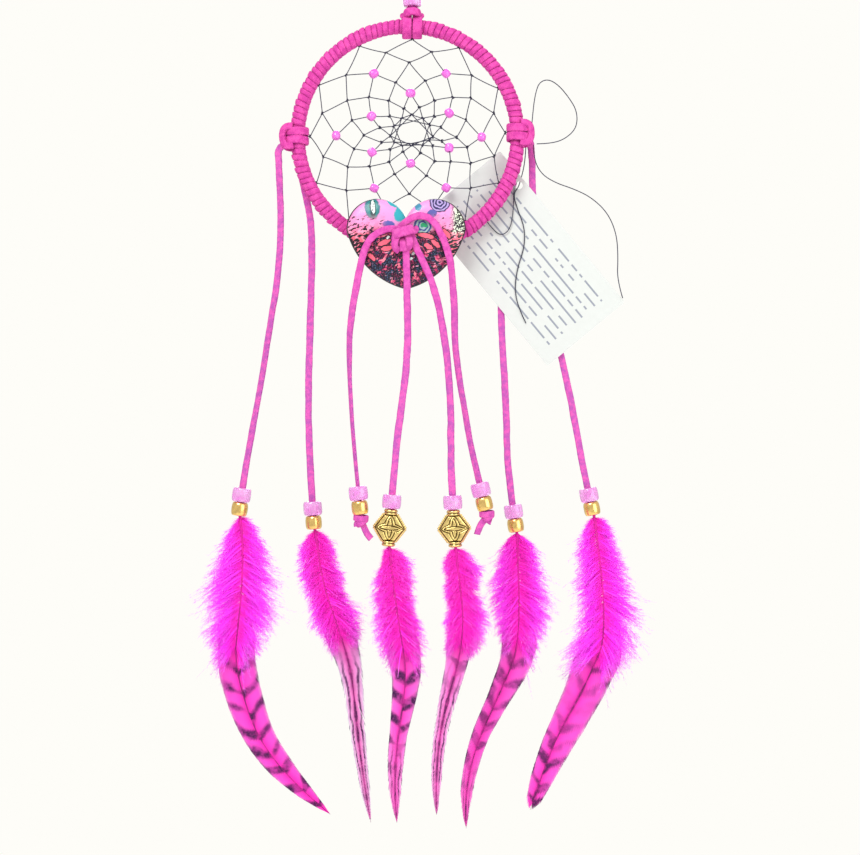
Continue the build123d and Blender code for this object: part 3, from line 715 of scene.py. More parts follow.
# Declared length, what is at the far end, and the route.
TAG_THREADS = {
    "loop": (72.2, "object", level(
        0, (56.6, 4.4), (57.3, 12.6), (58.3, 19.4), (60, 24.6), (64, 26.2), (68.7, 23.6), (73.6, 17.8),
        (77.4, 11.4), (77.2, 3.8), (71.6, -1.4), (64.9, -3.3), (58.9, -3.4))),
    "long": (89.7, "bare", [
        (57.5, 2, -3.6), (57.7, 2.4, -10), (61.2, 3.4, -16.8), (68, 4.2, -20.8),
        *level(LONG_THREAD_Y, (76, -23.4), (84, -27.2), (91.6, -34.2), (95.8, -44), (96.5, -55), (96, -65),
               (98.6, -73.6))]),
    "short": (86.2, "bare", [
        (54.2, 4.6, -2.2), (54.2, BACK_OF_CARD_Y + 0.2, -6), (53.4, BACK_OF_CARD_Y + 0.1, -13.4),
        (51.6, BACK_OF_CARD_Y, -20),
        *level(FRONT_OF_CARD_Y, (50.7, -22.7), (48.4, -26), (50.4, -33), (53.6, -41), (53.6, -50),
               (50.2, -60), (49, -70), (51, -78.4), (54.2, -85))]),
    "curl": (54.8, "bare", level(
        UNDER_THREAD_Y, (50.6, -2.2), (50, -12), (48.6, -24), (48.4, -34), (46.9, -42.2), (43, -45),
        (39.2, -42.3), (35.6, -37.6))),
}


def tag_threads():
    for name, (length, far_end, route) in TAG_THREADS.items():
        curve = bpy.data.curves.new(f"thread_{name}", "CURVE")
        curve.dimensions = "3D"
        curve.bevel_depth = TAG_THREAD_RADIUS * MM
        curve.bevel_resolution = 3
        curve.resolution_u = 14
        curve.use_fill_caps = True
        curve.materials.append(THREAD)
        spline = curve.splines.new("NURBS")
        fill_nurbs(spline, in_frame(route))
        obj = new_object(f"thread_{name}", curve)
        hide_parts(f"tag_thread_{name}")
        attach(obj, "hoop")


tag_threads()


# ---- Ring wrap ----------------------------------------------------------------------------------

WRAP_TURNS = 116
WRAP_AROUND = 30
# Across one turn of lace, from the last groove to the next: share of the turn, and radius.
WRAP_SECTION = ((0.0, 2.7), (0.04, 3.0), (0.1, 3.28), (0.3, 3.46), (0.55, 3.56), (0.8, 3.6), (0.93, 3.5),
                (0.98, 3.15), (1.0, 2.8))
WRAP_LATE, WRAP_LEAN = 0.17, 0.11     # how far a turn starts and leans out of place, in turns
WRAP_PROUD = (0.72, 1.2)              # how far a turn stands out, lowest and highest


def ring_wrap():
    """Lace wound edge over edge. The grid's rows run along the winding, so that the edges stay crisp."""
    rng = np.random.default_rng(3)
    total = WRAP_TURNS * WRAP_AROUND
    late = rng.uniform(-WRAP_LATE, WRAP_LATE, WRAP_TURNS)
    lean = rng.uniform(-WRAP_LEAN, WRAP_LEAN, WRAP_TURNS)
    proud = rng.uniform(*WRAP_PROUD, WRAP_TURNS)
    step = np.arange(total)
    turn, share = step // WRAP_AROUND, step % WRAP_AROUND / WRAP_AROUND
    after = (turn + 1) % WRAP_TURNS
    angle = 2 * math.pi * share
    start = step / WRAP_AROUND + late[turn] * (1 - share) + late[after] * share
    start += (lean[turn] * (1 - share) + lean[after] * share) * np.sin(angle)
    end = np.roll(start, -WRAP_AROUND)
    end[-WRAP_AROUND:] += WRAP_TURNS
    lift = proud[turn] * (1 - share) + proud[after] * share
    lift = lift * (0.85 + 0.25 * np.cos(angle))
    across, radius = np.array(WRAP_SECTION).T
    place = start[:, None] + (end - start)[:, None] * across
    place[:, 1:-1] += rng.normal(0, 0.012, (total, len(across) - 2))
    section = radius[0] + (radius - radius[0]) * lift[:, None] + rng.normal(0, 0.02, place.shape)
    around = 2 * math.pi * place / WRAP_TURNS
    reach = RING_RADIUS + section * np.cos(angle)[:, None]
    points = np.stack([reach * np.sin(around), section * np.sin(angle)[:, None], reach * np.cos(around)], -1)
    columns = len(WRAP_SECTION)
    beyond, below, past = ((step + ahead) % total for ahead in (WRAP_AROUND, 1, WRAP_AROUND + 1))
    last = columns - 1
    seam = np.stack([step * columns + last, beyond * columns, past * columns, below * columns + last], -1)
    # edge darkens both edges of each turn by the grooves between turns: partly the cut edges' own speckle,
    # partly painted shade in the grooves
    edge = np.broadcast_to(np.clip(1.25 - np.minimum(across, 1 - across) * 11, 0, 1) * 1.3, place.shape)
    heap = Heap()
    heap.add(points, np.concatenate([grid_faces(total, columns, close_rows=True), seam]), edge=edge)
    heap.piece("wrap", SUEDE_WRAP, body="hoop", replaces=["ring_wrap"])


# ---- Knots --------------------------------------------------------------------------------------

KNOT_SPREAD = 2.0     # half the step from one of a knot's turns to the other
KNOT_LACE = 3.8       # the turns are pressed flat
BAND_INNER = 3.6
LEFT_KNOT_Z, RIGHT_KNOT_Z = 0.0, 1.7
LEFT_KNOT_REACH, RIGHT_KNOT_REACH = 57.1, 56.4
TOP_SPREAD = 2.3      # the same for the knot on top, whose turns are flatter
TOP_LACE = 4.4


def round_band(heap, centre, axis, inner, seed, bulge=0.0, out=(1, 0, 0), width=KNOT_LACE):
    """One turn of lace round the wrapped ring. bulge lets it stand off on the side that out names."""
    axis, out = unit(np.asarray(axis, float)), unit(np.asarray(out, float))
    side = np.cross(axis, out)
    turn = full_turn(56)
    direction = circle(out, side, turn)
    radius = inner + LACE_THICK / 2 + bulge * np.clip(np.cos(turn), 0, 1) ** 3
    rng = np.random.default_rng(seed)
    sway = np.sin(turn * 2 + rng.uniform(0, 6)) * 0.12
    line = np.asarray(centre, float) + direction * radius[:, None] + axis * sway[:, None]
    lace(heap, line, direction, width=width, closed=True, seed=seed, uneven=0.03)


# One side of the knot on top, and half of its bar: X from its middle, Y, and Z from its top, or for the bar
# from TOP_BAR_DROP below that.
TOP_RISE = ((1.9, 4.0, -5.4), (1.8, 3.3, -3.6), (1.5, 1.3, -1.5))
TOP_BAR_HALF = ((3.1, 3.8, -0.9), (3.7, 1.4, -0.7), (3.6, -1.6, -0.3), (2.6, -4.2, 0.2), (0.8, -5.1, 0.6))
TOP_BAR_DROP = 3.4
# The bight over a side knot's turns: X in from its reach, Y, and Z from its middle.
SIDE_BIGHT = ((4.8, 3.6, 4.2), (2.6, 3.5, 4.3), (0.5, 2.5, 3.0), (0, 1.9, 0.4), (0.1, 1.9, -2.2),
              (1.2, 2.6, -4.4), (3.4, 3.4, -4.9), (5.2, 3.6, -4.5))
# The laces of the heart's knot: points from the middle of its back, facing, width and thickness.
HEART_KNOT = (
    (((-4.6, -0.2, -46.6), (-5.0, -2.6, -46.4), (-3.4, -4.6, -45.9), (-0.2, -5.4, -45.0), (2.6, -4.7, -44.1),
      (4.2, -2.6, -43.8), (4.0, -0.2, -43.9)), (0, -1, 0.12), 4.6, 1.7),
    (((-2.2, -0.8, -44.6), (-3.4, -3.4, -47.2), (-4.3, -3.9, -50.0), (-4.1, -3.4, -52.6),
      (-2.4, -1.6, -53.4)), (-0.35, -1, 0), 3.2, LACE_THICK),
    (((1.2, -1.0, -44.6), (1.8, -3.6, -47.2), (2.6, -4.1, -49.6), (2.3, -3.4, -51.9), (1.2, -1.6, -52.8)),
     (0.2, -1, 0), 3.1, LACE_THICK),
    (((-1.6, -0.6, -47.5), (-0.8, -3.2, -48.6), (-0.5, -3.4, -51.5), (-0.6, -2.2, -53.6)), (0, -1, 0), 3.4,
     LACE_THICK),
)


def short_lace(heap, points, facing, seed, width=LACE_WIDTH, thick=LACE_THICK, **values):
    lace(heap, smooth_route(points), np.asarray(facing, float), width=width, thick=thick, seed=seed, **values)


def top_knot():
    heap = Heap()
    middle = cad_middle("top_knot")[0]
    _, back, top = cad_box("top_knot")[1]
    for n, side in enumerate((-1, 1)):
        centre = (middle + side * TOP_SPREAD, 0, RING_RADIUS)
        round_band(heap, centre, (1, 0.02 * side, 0.04 * side), back - LACE_THICK, 50 + n, out=(0, 0, -1),
                   bulge=0.4, width=TOP_LACE)
        rise = [(middle + side * x, y, top + z) for x, y, z in TOP_RISE]
        short_lace(heap, rise + [(middle, side * 0.75, top + 1.5)], (0, 1, 0.3), 52 + n)
    bar = top - TOP_BAR_DROP
    left = [(middle - x, y, bar + z) for x, y, z in TOP_BAR_HALF]
    right = [(middle + x, y, bar + z) for x, y, z in reversed(TOP_BAR_HALF)]
    short_lace(heap, left + right, (0, -1, 0.2), 55, width=3.7, thick=1.6)
    heap.piece("top_knot_lace", SUEDE_WRAP, body="hanger", replaces=["top_knot"])


def side_knot(name, side, middle, reach, seed):
    """Two turns round the ring's side, and the bight that comes over them on the outside."""
    heap = Heap()
    x = side * RING_RADIUS
    for n, step in enumerate((1, -1)):
        centre = (x, 0, middle + step * KNOT_SPREAD)
        round_band(heap, centre, (0.04 * step, 0.02, 1), BAND_INNER, seed + n, out=(side, 0, 0), bulge=1.0)
    for n, face in enumerate((-1, 1)):
        bight = [(side * (reach - x), face * y, middle + z) for x, y, z in SIDE_BIGHT]
        short_lace(heap, bight, (side * 0.7, face, 0.1), seed + 3 + n, width=3.3, thick=1.7)
    heap.piece(f"{name}_lace", SUEDE_WRAP, body="hoop", replaces=[name])


def heart_knot():
    heap = Heap()
    x, back = cad_middle("heart_knot")[0], cad_box("heart_knot")[1][1]
    for n, (points, facing, width, thick) in enumerate(HEART_KNOT):
        short_lace(heap, [(x + a, back + b, z) for a, b, z in points], facing, 60 + n, width, thick, fade=0)
    heap.piece("heart_knot_lace", SUEDE_LACE, body="hoop", replaces=["heart_knot"])


def heart_binding():
    """Behind the heart: a turn of lace round the ring's bottom, and its ends through the heart's hole."""
    heap = Heap()
    x = cad_middle("heart_binding")[0]
    round_band(heap, (x, 0, -RING_RADIUS), (1, 0, 0.02), BAND_INNER, 70, out=(0, -1, 0))
    for n, side in enumerate((-1, 1)):
        ends = ((1.2, -1.2, 4.8 - RING_RADIUS), (1.0, -3.4, 4.4 - RING_RADIUS),
                (0.75, -5.6, HEART_HOLE_Z + 0.6), (0.75, -9, HEART_HOLE_Z), (0.75, -13.5, HEART_HOLE_Z))
        ends = [(x + side * away, y, z) for away, y, z in ends]
        short_lace(heap, ends, (side, 0, 0.2), 71 + n, width=2.9, thick=1.2)
    heap.piece("heart_binding_lace", SUEDE_LACE, body="hoop", replaces=["heart_binding"])


TAIL_LENGTH, STUB_LENGTH = 9.6, 3.4
END_KNOT_SIZE, LOOP_KNOT_SIZE = 2.9, 3.1
END_KNOT_DROP = 5.6   # below the middle of its bead
LOOP_KNOT_IN = 3.6    # from the corner of its CAD box
OVERHAND_TURNS = ((0.22, 0.9, 1.0), (-0.45, -0.9, 0.8))   # lean, height and share of the size


def overhand(heap, centre, up, tail, stub, size, seed, fade):
    """A tight overhand knot: two crossing turns of lace, the cut tail and the end that comes in."""
    up, tail, stub = (unit(np.asarray(v, float)) for v in (up, tail, stub))
    side = unit(np.cross(up, FRONT))
    for n, (lean, shift, share) in enumerate(OVERHAND_TURNS):
        axis = unit(up + lean * side + 0.12 * FRONT)
        first = unit(np.cross(axis, FRONT))
        direction = circle(first, np.cross(axis, first), full_turn(44))
        flat = 1 - 0.25 * np.abs(direction[:, 1:2])
        line = centre + direction * size * share * flat + up * shift
        lace(heap, line, direction, width=2.9, thick=1.2, closed=True, seed=seed + n, uneven=0.06, fade=fade)
    for n, (way, length) in enumerate(((tail, TAIL_LENGTH), (stub, STUB_LENGTH))):
        bow = np.cross(way, FRONT) * 0.6
        points = [centre + way * 0.4, centre + way * length * 0.45 + bow, centre + way * length * 0.8 + bow,
                  centre + way * length]
        short_lace(heap, points, FRONT + 0.5 * side, seed + 5 + n, width=2.9, fade=min(1, fade + 0.2))


def end_knots():
    for number, side in zip(KNOTTED, (1, -1)):
        up = hang_axis(number)
        centre = cad_middle(END_BEADS[number]) - up * END_KNOT_DROP
        heap = Heap()
        overhand(heap, centre, up, (side * 0.47, 0, -0.88), (-side * 0.5, -0.1, -0.8), END_KNOT_SIZE,
                 80 + number, 0.35)
        name = f"end_knot_{number}"
        heap.piece(f"{name}_lace", SUEDE_LACE, body=f"tassel_{number}", replaces=[name])


def loop_knot():
    low, high = cad_box("loop_knot")
    centre = np.array((low[0] + LOOP_KNOT_IN, 0, high[2] - LOOP_KNOT_IN))
    heap = Heap()
    overhand(heap, centre, (0.05, 0, 1), (0.68, 0, -0.73), (0.3, -0.15, -0.95), LOOP_KNOT_SIZE, 90, 0.3)
    heap.piece("lace_hanging_knot", SUEDE_LACE, body="hanger", replaces=["loop_knot"])


# ---- Web ----------------------------------------------------------------------------------------

WEB_THREAD = 0.5
WEB_TIES_DEG = (0, 30, 62, 88, 117, 146, 176, -145, -117, -90, -60, -28)
WEB_LOOPS = len(WEB_TIES_DEG)
TIE_IN, TOP_TIE_IN, SIDE_TIE_IN = 3.3, 5.7, 5.5   # from the ring's centre line, deeper at the knots
WEB_ROWS = ((40.5, 40.0, 34.0), (33.0, 34.0, 26.0), (27.0, 26.5, 17.5), (21.0, 20.0, 12.0),
            (14.5, 14.0, 7.0), (9.6, 10.0, 4.0))   # half width, height above and below the centre
WEB_DRIFT = 0.3       # each row sits this much further to the right
# How unevenly its loops are pulled.
WEB_PULL = (0.2, 0.9, -0.7, 0.4, -0.8, 1.1, 0.3, 1.4, 1.2, -0.5, 0.8, 1.0)
HUB_REACH = 3         # the last round passes straight across this many loops
HITCH_RADIUS, HITCH_THREAD = 0.34, 0.24
WEB_BEAD_ROWS = (2, 4)
WEB_BEAD_RADIUS, WEB_BEAD_BORE = 2.1, 0.4
WEB_BEAD_HEIGHT = 1.85   # as a share of its radius


def web_node(row, place):
    """Place 0 to 11 runs clockwise from the top, and odd rows sit half a step on."""
    turn = 2 * math.pi * (place + (0.5 if row % 2 else 0)) / WEB_LOOPS
    across, above, below = WEB_ROWS[row - 1]
    height = above if math.cos(turn) > 0 else below
    pull = WEB_PULL[place % WEB_LOOPS] * math.sin(math.pi * row / (len(WEB_ROWS) + 1))
    x = across * math.sin(turn) + row * WEB_DRIFT + 0.6 * pull
    return np.array((x, 0, height * math.cos(turn) - pull))


def web_run(heap, rng, a, b, sag=0.25):
    """One run of thread, a touch off straight."""
    share = np.linspace(0, 1, 7)[:, None]
    middle = (a + b) / 2
    aside = np.array((rng.uniform(-sag, sag), rng.uniform(-0.15, 0.15), rng.uniform(-sag, sag)))
    aside += unit(-middle) * sag * 0.6
    line = a + (b - a) * share + aside * 4 * share * (1 - share)
    tube(heap, line, WEB_THREAD / 2 - 0.03)


def half_hitch(heap, rng, place, out):
    """A small hitch where a row's loop catches the row outside it."""
    turn = np.linspace(0, 2 * math.pi, 13)
    side = np.cross(out, FRONT)
    for shift in (-0.45, 0.45):
        centre = place + side * shift + out * rng.uniform(-0.1, 0.1)
        ring = centre + HITCH_RADIUS * circle(out, FRONT, turn)
        tube(heap, ring + side * (turn / 12 - 0.25)[:, None], HITCH_THREAD)


def web():
    heap = Heap()
    rng = np.random.default_rng(11)
    reach = RING_RADIUS - TIE_IN
    ties = []
    for place, degrees in enumerate(WEB_TIES_DEG):
        turn = math.radians(degrees)
        tie = np.array((math.sin(turn), 0, math.cos(turn))) * reach
        if place == 0:
            tie = np.array((STEM_X, 0, RING_RADIUS - TOP_TIE_IN))
        elif place in (3, 9):
            middle = RIGHT_KNOT_Z if place == 3 else LEFT_KNOT_Z
            tie = np.array((np.sign(tie[0]) * (RING_RADIUS - SIDE_TIE_IN), 0, middle))
        ties.append(tie)
    for place, tie in enumerate(ties):
        web_run(heap, rng, tie, web_node(1, place))
        web_run(heap, rng, tie, web_node(1, place - 1))
        half_hitch(heap, rng, tie, unit(tie))
        tube(heap, [tie, tie * 1.04, tie * 1.07], WEB_THREAD / 2)
    for row in range(2, len(WEB_ROWS) + 1):
        for place in range(WEB_LOOPS):
            other = place - 1 if row % 2 == 0 else place + 1
            web_run(heap, rng, web_node(row, place), web_node(row - 1, place))
            web_run(heap, rng, web_node(row, place), web_node(row - 1, other))
    for row in range(1, len(WEB_ROWS) + 1):
        for place in range(WEB_LOOPS):
            node = web_node(row, place)
            half_hitch(heap, rng, node, unit(node))
    hub = len(WEB_ROWS)
    for ahead in (1, HUB_REACH):
        for place in range(WEB_LOOPS):
            web_run(heap, rng, web_node(hub, place), web_node(hub, place + ahead), sag=0.1)
    heap.piece("web_thread", THREAD, body="hoop", replaces=["web"])


def web_beads():
    heap = Heap()
    rng = np.random.default_rng(12)
    for row in WEB_BEAD_ROWS:
        for place in range(1 if row == 2 else 0, WEB_LOOPS, 2):
            node = web_node(row, place)
            axis = unit(np.cross(unit(node), FRONT) + rng.uniform(-0.3, 0.3, 3))
            radius = WEB_BEAD_RADIUS * rng.uniform(0.94, 1.02)
            lathe(heap, bead_profile(radius, WEB_BEAD_BORE, radius * WEB_BEAD_HEIGHT, 2.0), node, axis, 28)
    heap.piece("web_bead_group", WEB_BEAD, body="hoop", replaces=["web_beads"])


# ---- Heart --------------------------------------------------------------------------------------

HEART_HOLE_Z = -47.7
HEART_HOLE = 2.2
HEART_LOBE_SHARE = 14 / 27     # a lobe's radius, as a share of half the width
HEART_SIDE = (18.6 / 27, 16 / 27)   # where the lower side passes, from the lobes' centres
HEART_FLAT, HEART_ROUND = 3.4, 1 / 1.9   # the puff's powers, over the middle and down to the edge
HEART_TURNS = 220
HEART_RINGS = 26


def arc(start, middle, end, count):
    """Points on the circle through three points of the X, Z plane."""
    (ax, az), (bx, bz), (cx, cz) = start, middle, end
    d = 2 * (ax * (bz - cz) + bx * (cz - az) + cx * (az - bz))
    a, b, c = (x ** 2 + z ** 2 for x, z in (start, middle, end))
    ux = (a * (bz - cz) + b * (cz - az) + c * (az - bz)) / d
    uz = (a * (cx - bx) + b * (ax - cx) + c * (bx - ax)) / d
    radius = math.hypot(ax - ux, az - uz)
    first, last = math.atan2(az - uz, ax - ux), math.atan2(cz - uz, cx - ux)
    last = first + (last - first + math.pi) % (2 * math.pi) - math.pi
    turn = np.linspace(first, last, count)
    return np.stack([ux + radius * np.cos(turn), uz + radius * np.sin(turn)], 1)


def heart_reach():
    """The heart's edge, as a distance from its hole in each direction."""
    low, high = cad_box("heart")
    half = (high[0] - low[0]) / 2
    lobe = half * HEART_LOBE_SHARE
    out = half - lobe
    lobe_z = high[2] - lobe
    notch = (0, lobe_z + math.sqrt(lobe ** 2 - out ** 2))
    side = (half * HEART_SIDE[0], lobe_z - half * HEART_SIDE[1])
    turn = np.linspace(math.atan2(notch[1] - lobe_z, -out), 0, 80)
    right = np.stack([out + lobe * np.cos(turn), lobe_z + lobe * np.sin(turn)], 1)
    right = np.concatenate([right, arc((half, lobe_z), side, (0, low[2]), 60)[1:]])
    x, z = right[:, 0], right[:, 1] - HEART_HOLE_Z
    angle = np.unwrap(np.arctan2(x, z))
    turns = full_turn(HEART_TURNS)
    folded = np.minimum(turns, 2 * math.pi - turns)
    return turns, np.interp(folded, angle, np.hypot(x, z))


def heart():
    low, high = cad_box("heart")
    middle_x, middle_y, _ = cad_middle("heart")
    puff = (high[1] - low[1]) / 2
    turns, reach = heart_reach()
    share = np.sin(np.linspace(0, math.pi / 2, HEART_RINGS)) ** 0.9
    rings, depths, rims = [], [], []
    for side in (-1, 1):
        ring = HEART_HOLE + (reach[None] - HEART_HOLE) * share[:, None]
        depth = side * puff * (1 - share ** HEART_FLAT) ** HEART_ROUND
        rings.append(ring if side < 0 else ring[::-1][1:])
        depths.append(depth if side < 0 else depth[::-1][1:])
        rims.append(share if side < 0 else share[::-1][1:])
    ring, depth, rim = np.concatenate(rings), np.concatenate(depths), np.concatenate(rims)
    y = np.broadcast_to(middle_y + depth[:, None], ring.shape)
    points = np.stack([middle_x + ring * np.sin(turns), y, HEART_HOLE_Z + ring * np.cos(turns)], -1)
    heap = Heap()
    faces = grid_faces(len(ring), HEART_TURNS, close_rows=True, close_columns=True)
    heap.add(points, faces, rim=np.repeat(rim, HEART_TURNS))
    heap.piece("heart_shell", heart_paint(), body="hoop", replaces=["heart"])


PINK, CORAL, BLACK = (0.83, 0.30, 0.62), (0.86, 0.13, 0.20), (0.012, 0.008, 0.014)
TEAL, TURQUOISE, WHITE = (0.02, 0.16, 0.20), (0.03, 0.36, 0.42), (0.75, 0.85, 0.80)
# Ovals: colour, X, Z, half width, half height and lean. Rings: two colours, X, Z, radius and how many.
UPPER_SPOTS = (
    (TURQUOISE, -2.6, -36.0, 3.0, 4.6, -28), (TURQUOISE, -6.6, -31.6, 3.0, 1.5, -35),
    ((0.05, 0.24, 0.38), 4.8, -33.4, 1.7, 1.9), (TEAL, -15.8, -34.0, 3.5, 5.0, 6),
    ((0.02, 0.22, 0.20), -15.6, -34.0, 2.4, 4.2, 6), ((0.01, 0.05, 0.06), -15.6, -34.0, 1.5, 3.9, 6),
    (WHITE, -15.5, -33.4, 0.8, 3.2, 6),
    *((BLACK, -15.2 - 0.15 * n, -31.0 - 1.3 * n, 0.34, 0.34) for n in range(4)))
MIDDLE_SPOTS = (((0.10, 0.11, 0.36), 11.0, -36.7, 2.3, 1.9, 20), ((0.10, 0.12, 0.40), -8.4, -41.4, 2.7, 1.7))
UPPER_RINGS = (((0.02, 0.02, 0.09), (0.42, 0.32, 0.62)), 14.6, -31.4, 4.6, 3.4)
LOWER_RINGS = (((0.05, 0.06, 0.22), (0.30, 0.45, 0.42)), 6.9, -42.2, 4.1, 2.6)
# Coral wedges, each on a larger black one: X, Z, half width and lean.
WEDGES = ((-10.4, -49.6, 3.0, 22), (-9.2, -52.2, 2.6, 8), (8.4, -46.6, 3.8, -14), (12.8, -50.2, 2.4, -40),
          (9.6, -51.4, 2.2, -26), (-16.0, -56.2, 2.0, -48), (17.8, -45.6, 2.4, -52))
LOWER_SPOTS = (
    ((0.02, 0.30, 0.12), 7.6, -41.8, 1.5, 1.0),
    *(oval for x, z, wide, lean in WEDGES
      for oval in ((BLACK, x, z, wide + 0.5, 1.5, lean), (CORAL, x, z, wide, 1.05, lean))),
    *((WHITE, x, z, 0.8, 0.6, 30) for x, z in ((2.8, -54.6), (1.6, -57.0), (-8.6, -47.2))))


def heart_paint():
    """A glossy print: pale pink above, swirls and a teardrop, and dark broken strokes towards the tip."""
    paint = Paint("heart_print", Roughness=0.3, Coat_Weight=0.12, Coat_Roughness=0.08, Specular_IOR_Level=0.3)
    flat = paint.vector("SUBTRACT", paint.place(), tuple(CENTRE))
    flat = paint.vector("MULTIPLY", flat, (1 / MM, 0.0, 1 / MM))
    wobble = paint.vector("SUBTRACT", paint.noise(0.55, 3.0, at=flat, colour=True), (0.5, 0.5, 0.5))
    wobble = paint.node("VectorMath", {0: wobble, 3: 1.6}, operation="SCALE").outputs[0]
    at = paint.vector("ADD", flat, wobble)

    def spread(x, z, wide, high, lean=0.0):
        """Distance from a spot, 1 at the edge of its ellipse."""
        leant = paint.leant(paint.vector("SUBTRACT", at, (x, 0.0, z)), math.radians(lean))
        scaled = paint.vector("MULTIPLY", leant, (1 / wide, 0.0, 1 / high))
        return paint.node("VectorMath", {0: scaled}, operation="LENGTH").outputs[1]

    def within(away, soft):
        """1 inside a spot, falling to 0 over its soft edge."""
        return paint.ramp(away, 1 - soft, 1 + soft, 1.0, 0.0)

    def spots(under, rows):
        for tint, *place in rows:
            under = paint.mix(within(spread(*place), 0.12), under, tint)
        return under

    def swirl(under, colours, x, z, size, rings):
        """Rings of two colours round a spot."""
        away = spread(x, z, size, size)
        band = paint.ramp(paint.math("FRACT", paint.times(away, rings)), 0.4, 0.6)
        return paint.mix(within(away, 0.06), under, paint.mix(band, *colours))

    colour = spots(swirl(spots(PINK, UPPER_SPOTS), *UPPER_RINGS), MIDDLE_SPOTS)
    # strokes: short dark dashes on pink and coral, denser lower down
    parts = paint.parts(flat)
    height, across = parts["Z"], parts["X"]
    fan = paint.vector("MULTIPLY", paint.leant(at, 0.35), (0.42, 0.0, 1.25))
    dashes = paint.noise(0.9, 2.0, 0.5, at=fan)
    hue = paint.ramp(paint.noise(0.32, 1.0, at=flat), 0.44, 0.56)
    warm = paint.mix(hue, CORAL, (0.88, 0.30, 0.42))
    away = paint.math("ABSOLUTE", paint.minus(across, -0.6))
    depth = paint.plus(paint.minus(-37.5, height), paint.times(paint.noise(0.25, 2.0, at=flat), 3.0))
    flank = paint.times(paint.ramp(depth, 0.0, 2.5), paint.ramp(away, 8.0, 11.0))
    colour = paint.mix(paint.times(flank, paint.ramp(depth, 4.0, 11.0, 0.25, 1.0)), colour, warm)
    strokes = paint.below(dashes, paint.ramp(depth, 3.0, 16.0, 0.40, 0.56))
    colour = paint.mix(paint.times(strokes, flank), colour, BLACK)
    low = paint.times(paint.ramp(depth, 7.0, 9.5), paint.ramp(away, 19.0, 14.0))
    mottle = paint.ramp(paint.noise(1.5, 3.0, 0.7, at=flat), 0.52, 0.58)
    tint = paint.ramp(paint.noise(0.3, 1.0, at=flat), 0.45, 0.55)
    tint = paint.mix(tint, (0.05, 0.10, 0.20), (0.30, 0.02, 0.10))
    colour = paint.mix(low, colour, paint.mix(mottle, (0.008, 0.005, 0.015), tint))
    # shards: wedges that point away from the knot
    aside, below = paint.plus(across, 0.5), paint.minus(-44.0, height)
    turn = paint.math("ARCTAN2", aside, below)
    reach = paint.math("SQRT", paint.plus(paint.squared(aside), paint.squared(below)))
    wedge = paint.node("CombineXYZ", {"X": paint.times(turn, 5.0), "Z": paint.times(reach, 0.2)}).outputs[0]
    shards = paint.ramp(paint.noise(1.3, 2.0, 0.6, at=wedge), 0.55, 0.575)
    shards = paint.times(shards, paint.above(dashes, 0.42))
    reds = paint.ramp(paint.noise(0.5, 2.0, at=at), 0.42, 0.58)
    reds = paint.mix(reds, (0.50, 0.015, 0.12), (0.88, 0.22, 0.30))
    colour = paint.mix(paint.times(shards, low), colour, reds)
    cells = paint.node("TexVoronoi", {"Vector": fan, "Scale": 0.75}, feature="DISTANCE_TO_EDGE")
    fleck = paint.times(paint.ramp(cells.outputs["Distance"], 0.2, 0.3), paint.above(dashes, 0.58))
    colour = paint.mix(paint.times(fleck, low), colour, (0.80, 0.32, 0.46))
    colour = spots(swirl(colour, *LOWER_RINGS), LOWER_SPOTS)
    # white flecks by the right edge, and a black rim
    side = paint.times(paint.ramp(away, 19.5, 22.5), paint.above(across, 0.0))
    side = paint.times(side, paint.ramp(height, -47.0, -44.0))
    speckle = paint.mix(paint.above(paint.noise(1.3, 1.0, at=at), 0.52), BLACK, (0.72, 0.80, 0.62))
    colour = paint.mix(paint.times(side, paint.ramp(height, -31.0, -34.0)), colour, speckle)
    paint.colour(paint.mix(paint.ramp(paint.value("rim"), 0.965, 0.985), colour, BLACK))
    paint.bump(paint.noise(500, 3.0), 0.05, 0.25)
    return paint.material


# ---- Beads --------------------------------------------------------------------------------------

# Radius, bore radius, height, squareness, material and slot.
ROUND_BEADS = {"pony": (4.3, 2.1, 6.3, 3.2, PONY, "pony_bead"), "gold": (3.75, 1.75, 6.1, 2.5, GOLD, "gold")}


def round_bead(kind, tag, node, axis, body):
    *section, material, slot = ROUND_BEADS[kind]
    heap = Heap()
    lathe(heap, bead_profile(*section, 40), cad_middle(node), axis, 56)
    return heap.piece(f"{kind}_{tag}", material, body=body, replaces=[node])


DIAMOND_HALF = 7.5
DIAMOND_SHOULDER = 6.6
DIAMOND_THICK = 5.4
DIAMOND_COLLAR = 3.0
# The collar at each end: distance from the axis and from the bead's middle, and how dark each ring is.
DIAMOND_COLLAR_SECTION = ((1.7, 6), (3.15, 6), (3.1, 6.7), (2.7, 6.85), (2.7, 7), (3.1, 7.2), (3, 7.95),
                          (2.5, 8.35), (1.8, 8.25))
DIAMOND_COLLAR_GROOVE = (1, 0, 0.2, 1, 1, 0.2, 0, 0, 0.8)
DIAMOND_TURNS = 120
DIAMOND_RINGS = 44
# Length and half width of each pair of pointed ovals, the upright one and then the level one.
OUTER_OVALS = ((5.9, 2.6), (5.95, 2.1))
INNER_OVALS = ((4.5, 1.15), (4.7, 0.95))
LINE_HALF = 0.23
RIM_DOTS = 8


def line_mark(distance):
    """1 on a drawn line, falling to 0 beside it."""
    return np.clip(1.7 - np.abs(distance) / LINE_HALF, 0, 1)


def oval(along, across, length, wide):
    """How far outside a pointed oval a place is."""
    share = np.abs(along) / length
    past_tip = np.clip(np.abs(along) - length, 0, None)
    return np.abs(across) - wide * np.clip(1 - share ** 2, 0, 1) ** 0.85 + 2 * past_tip


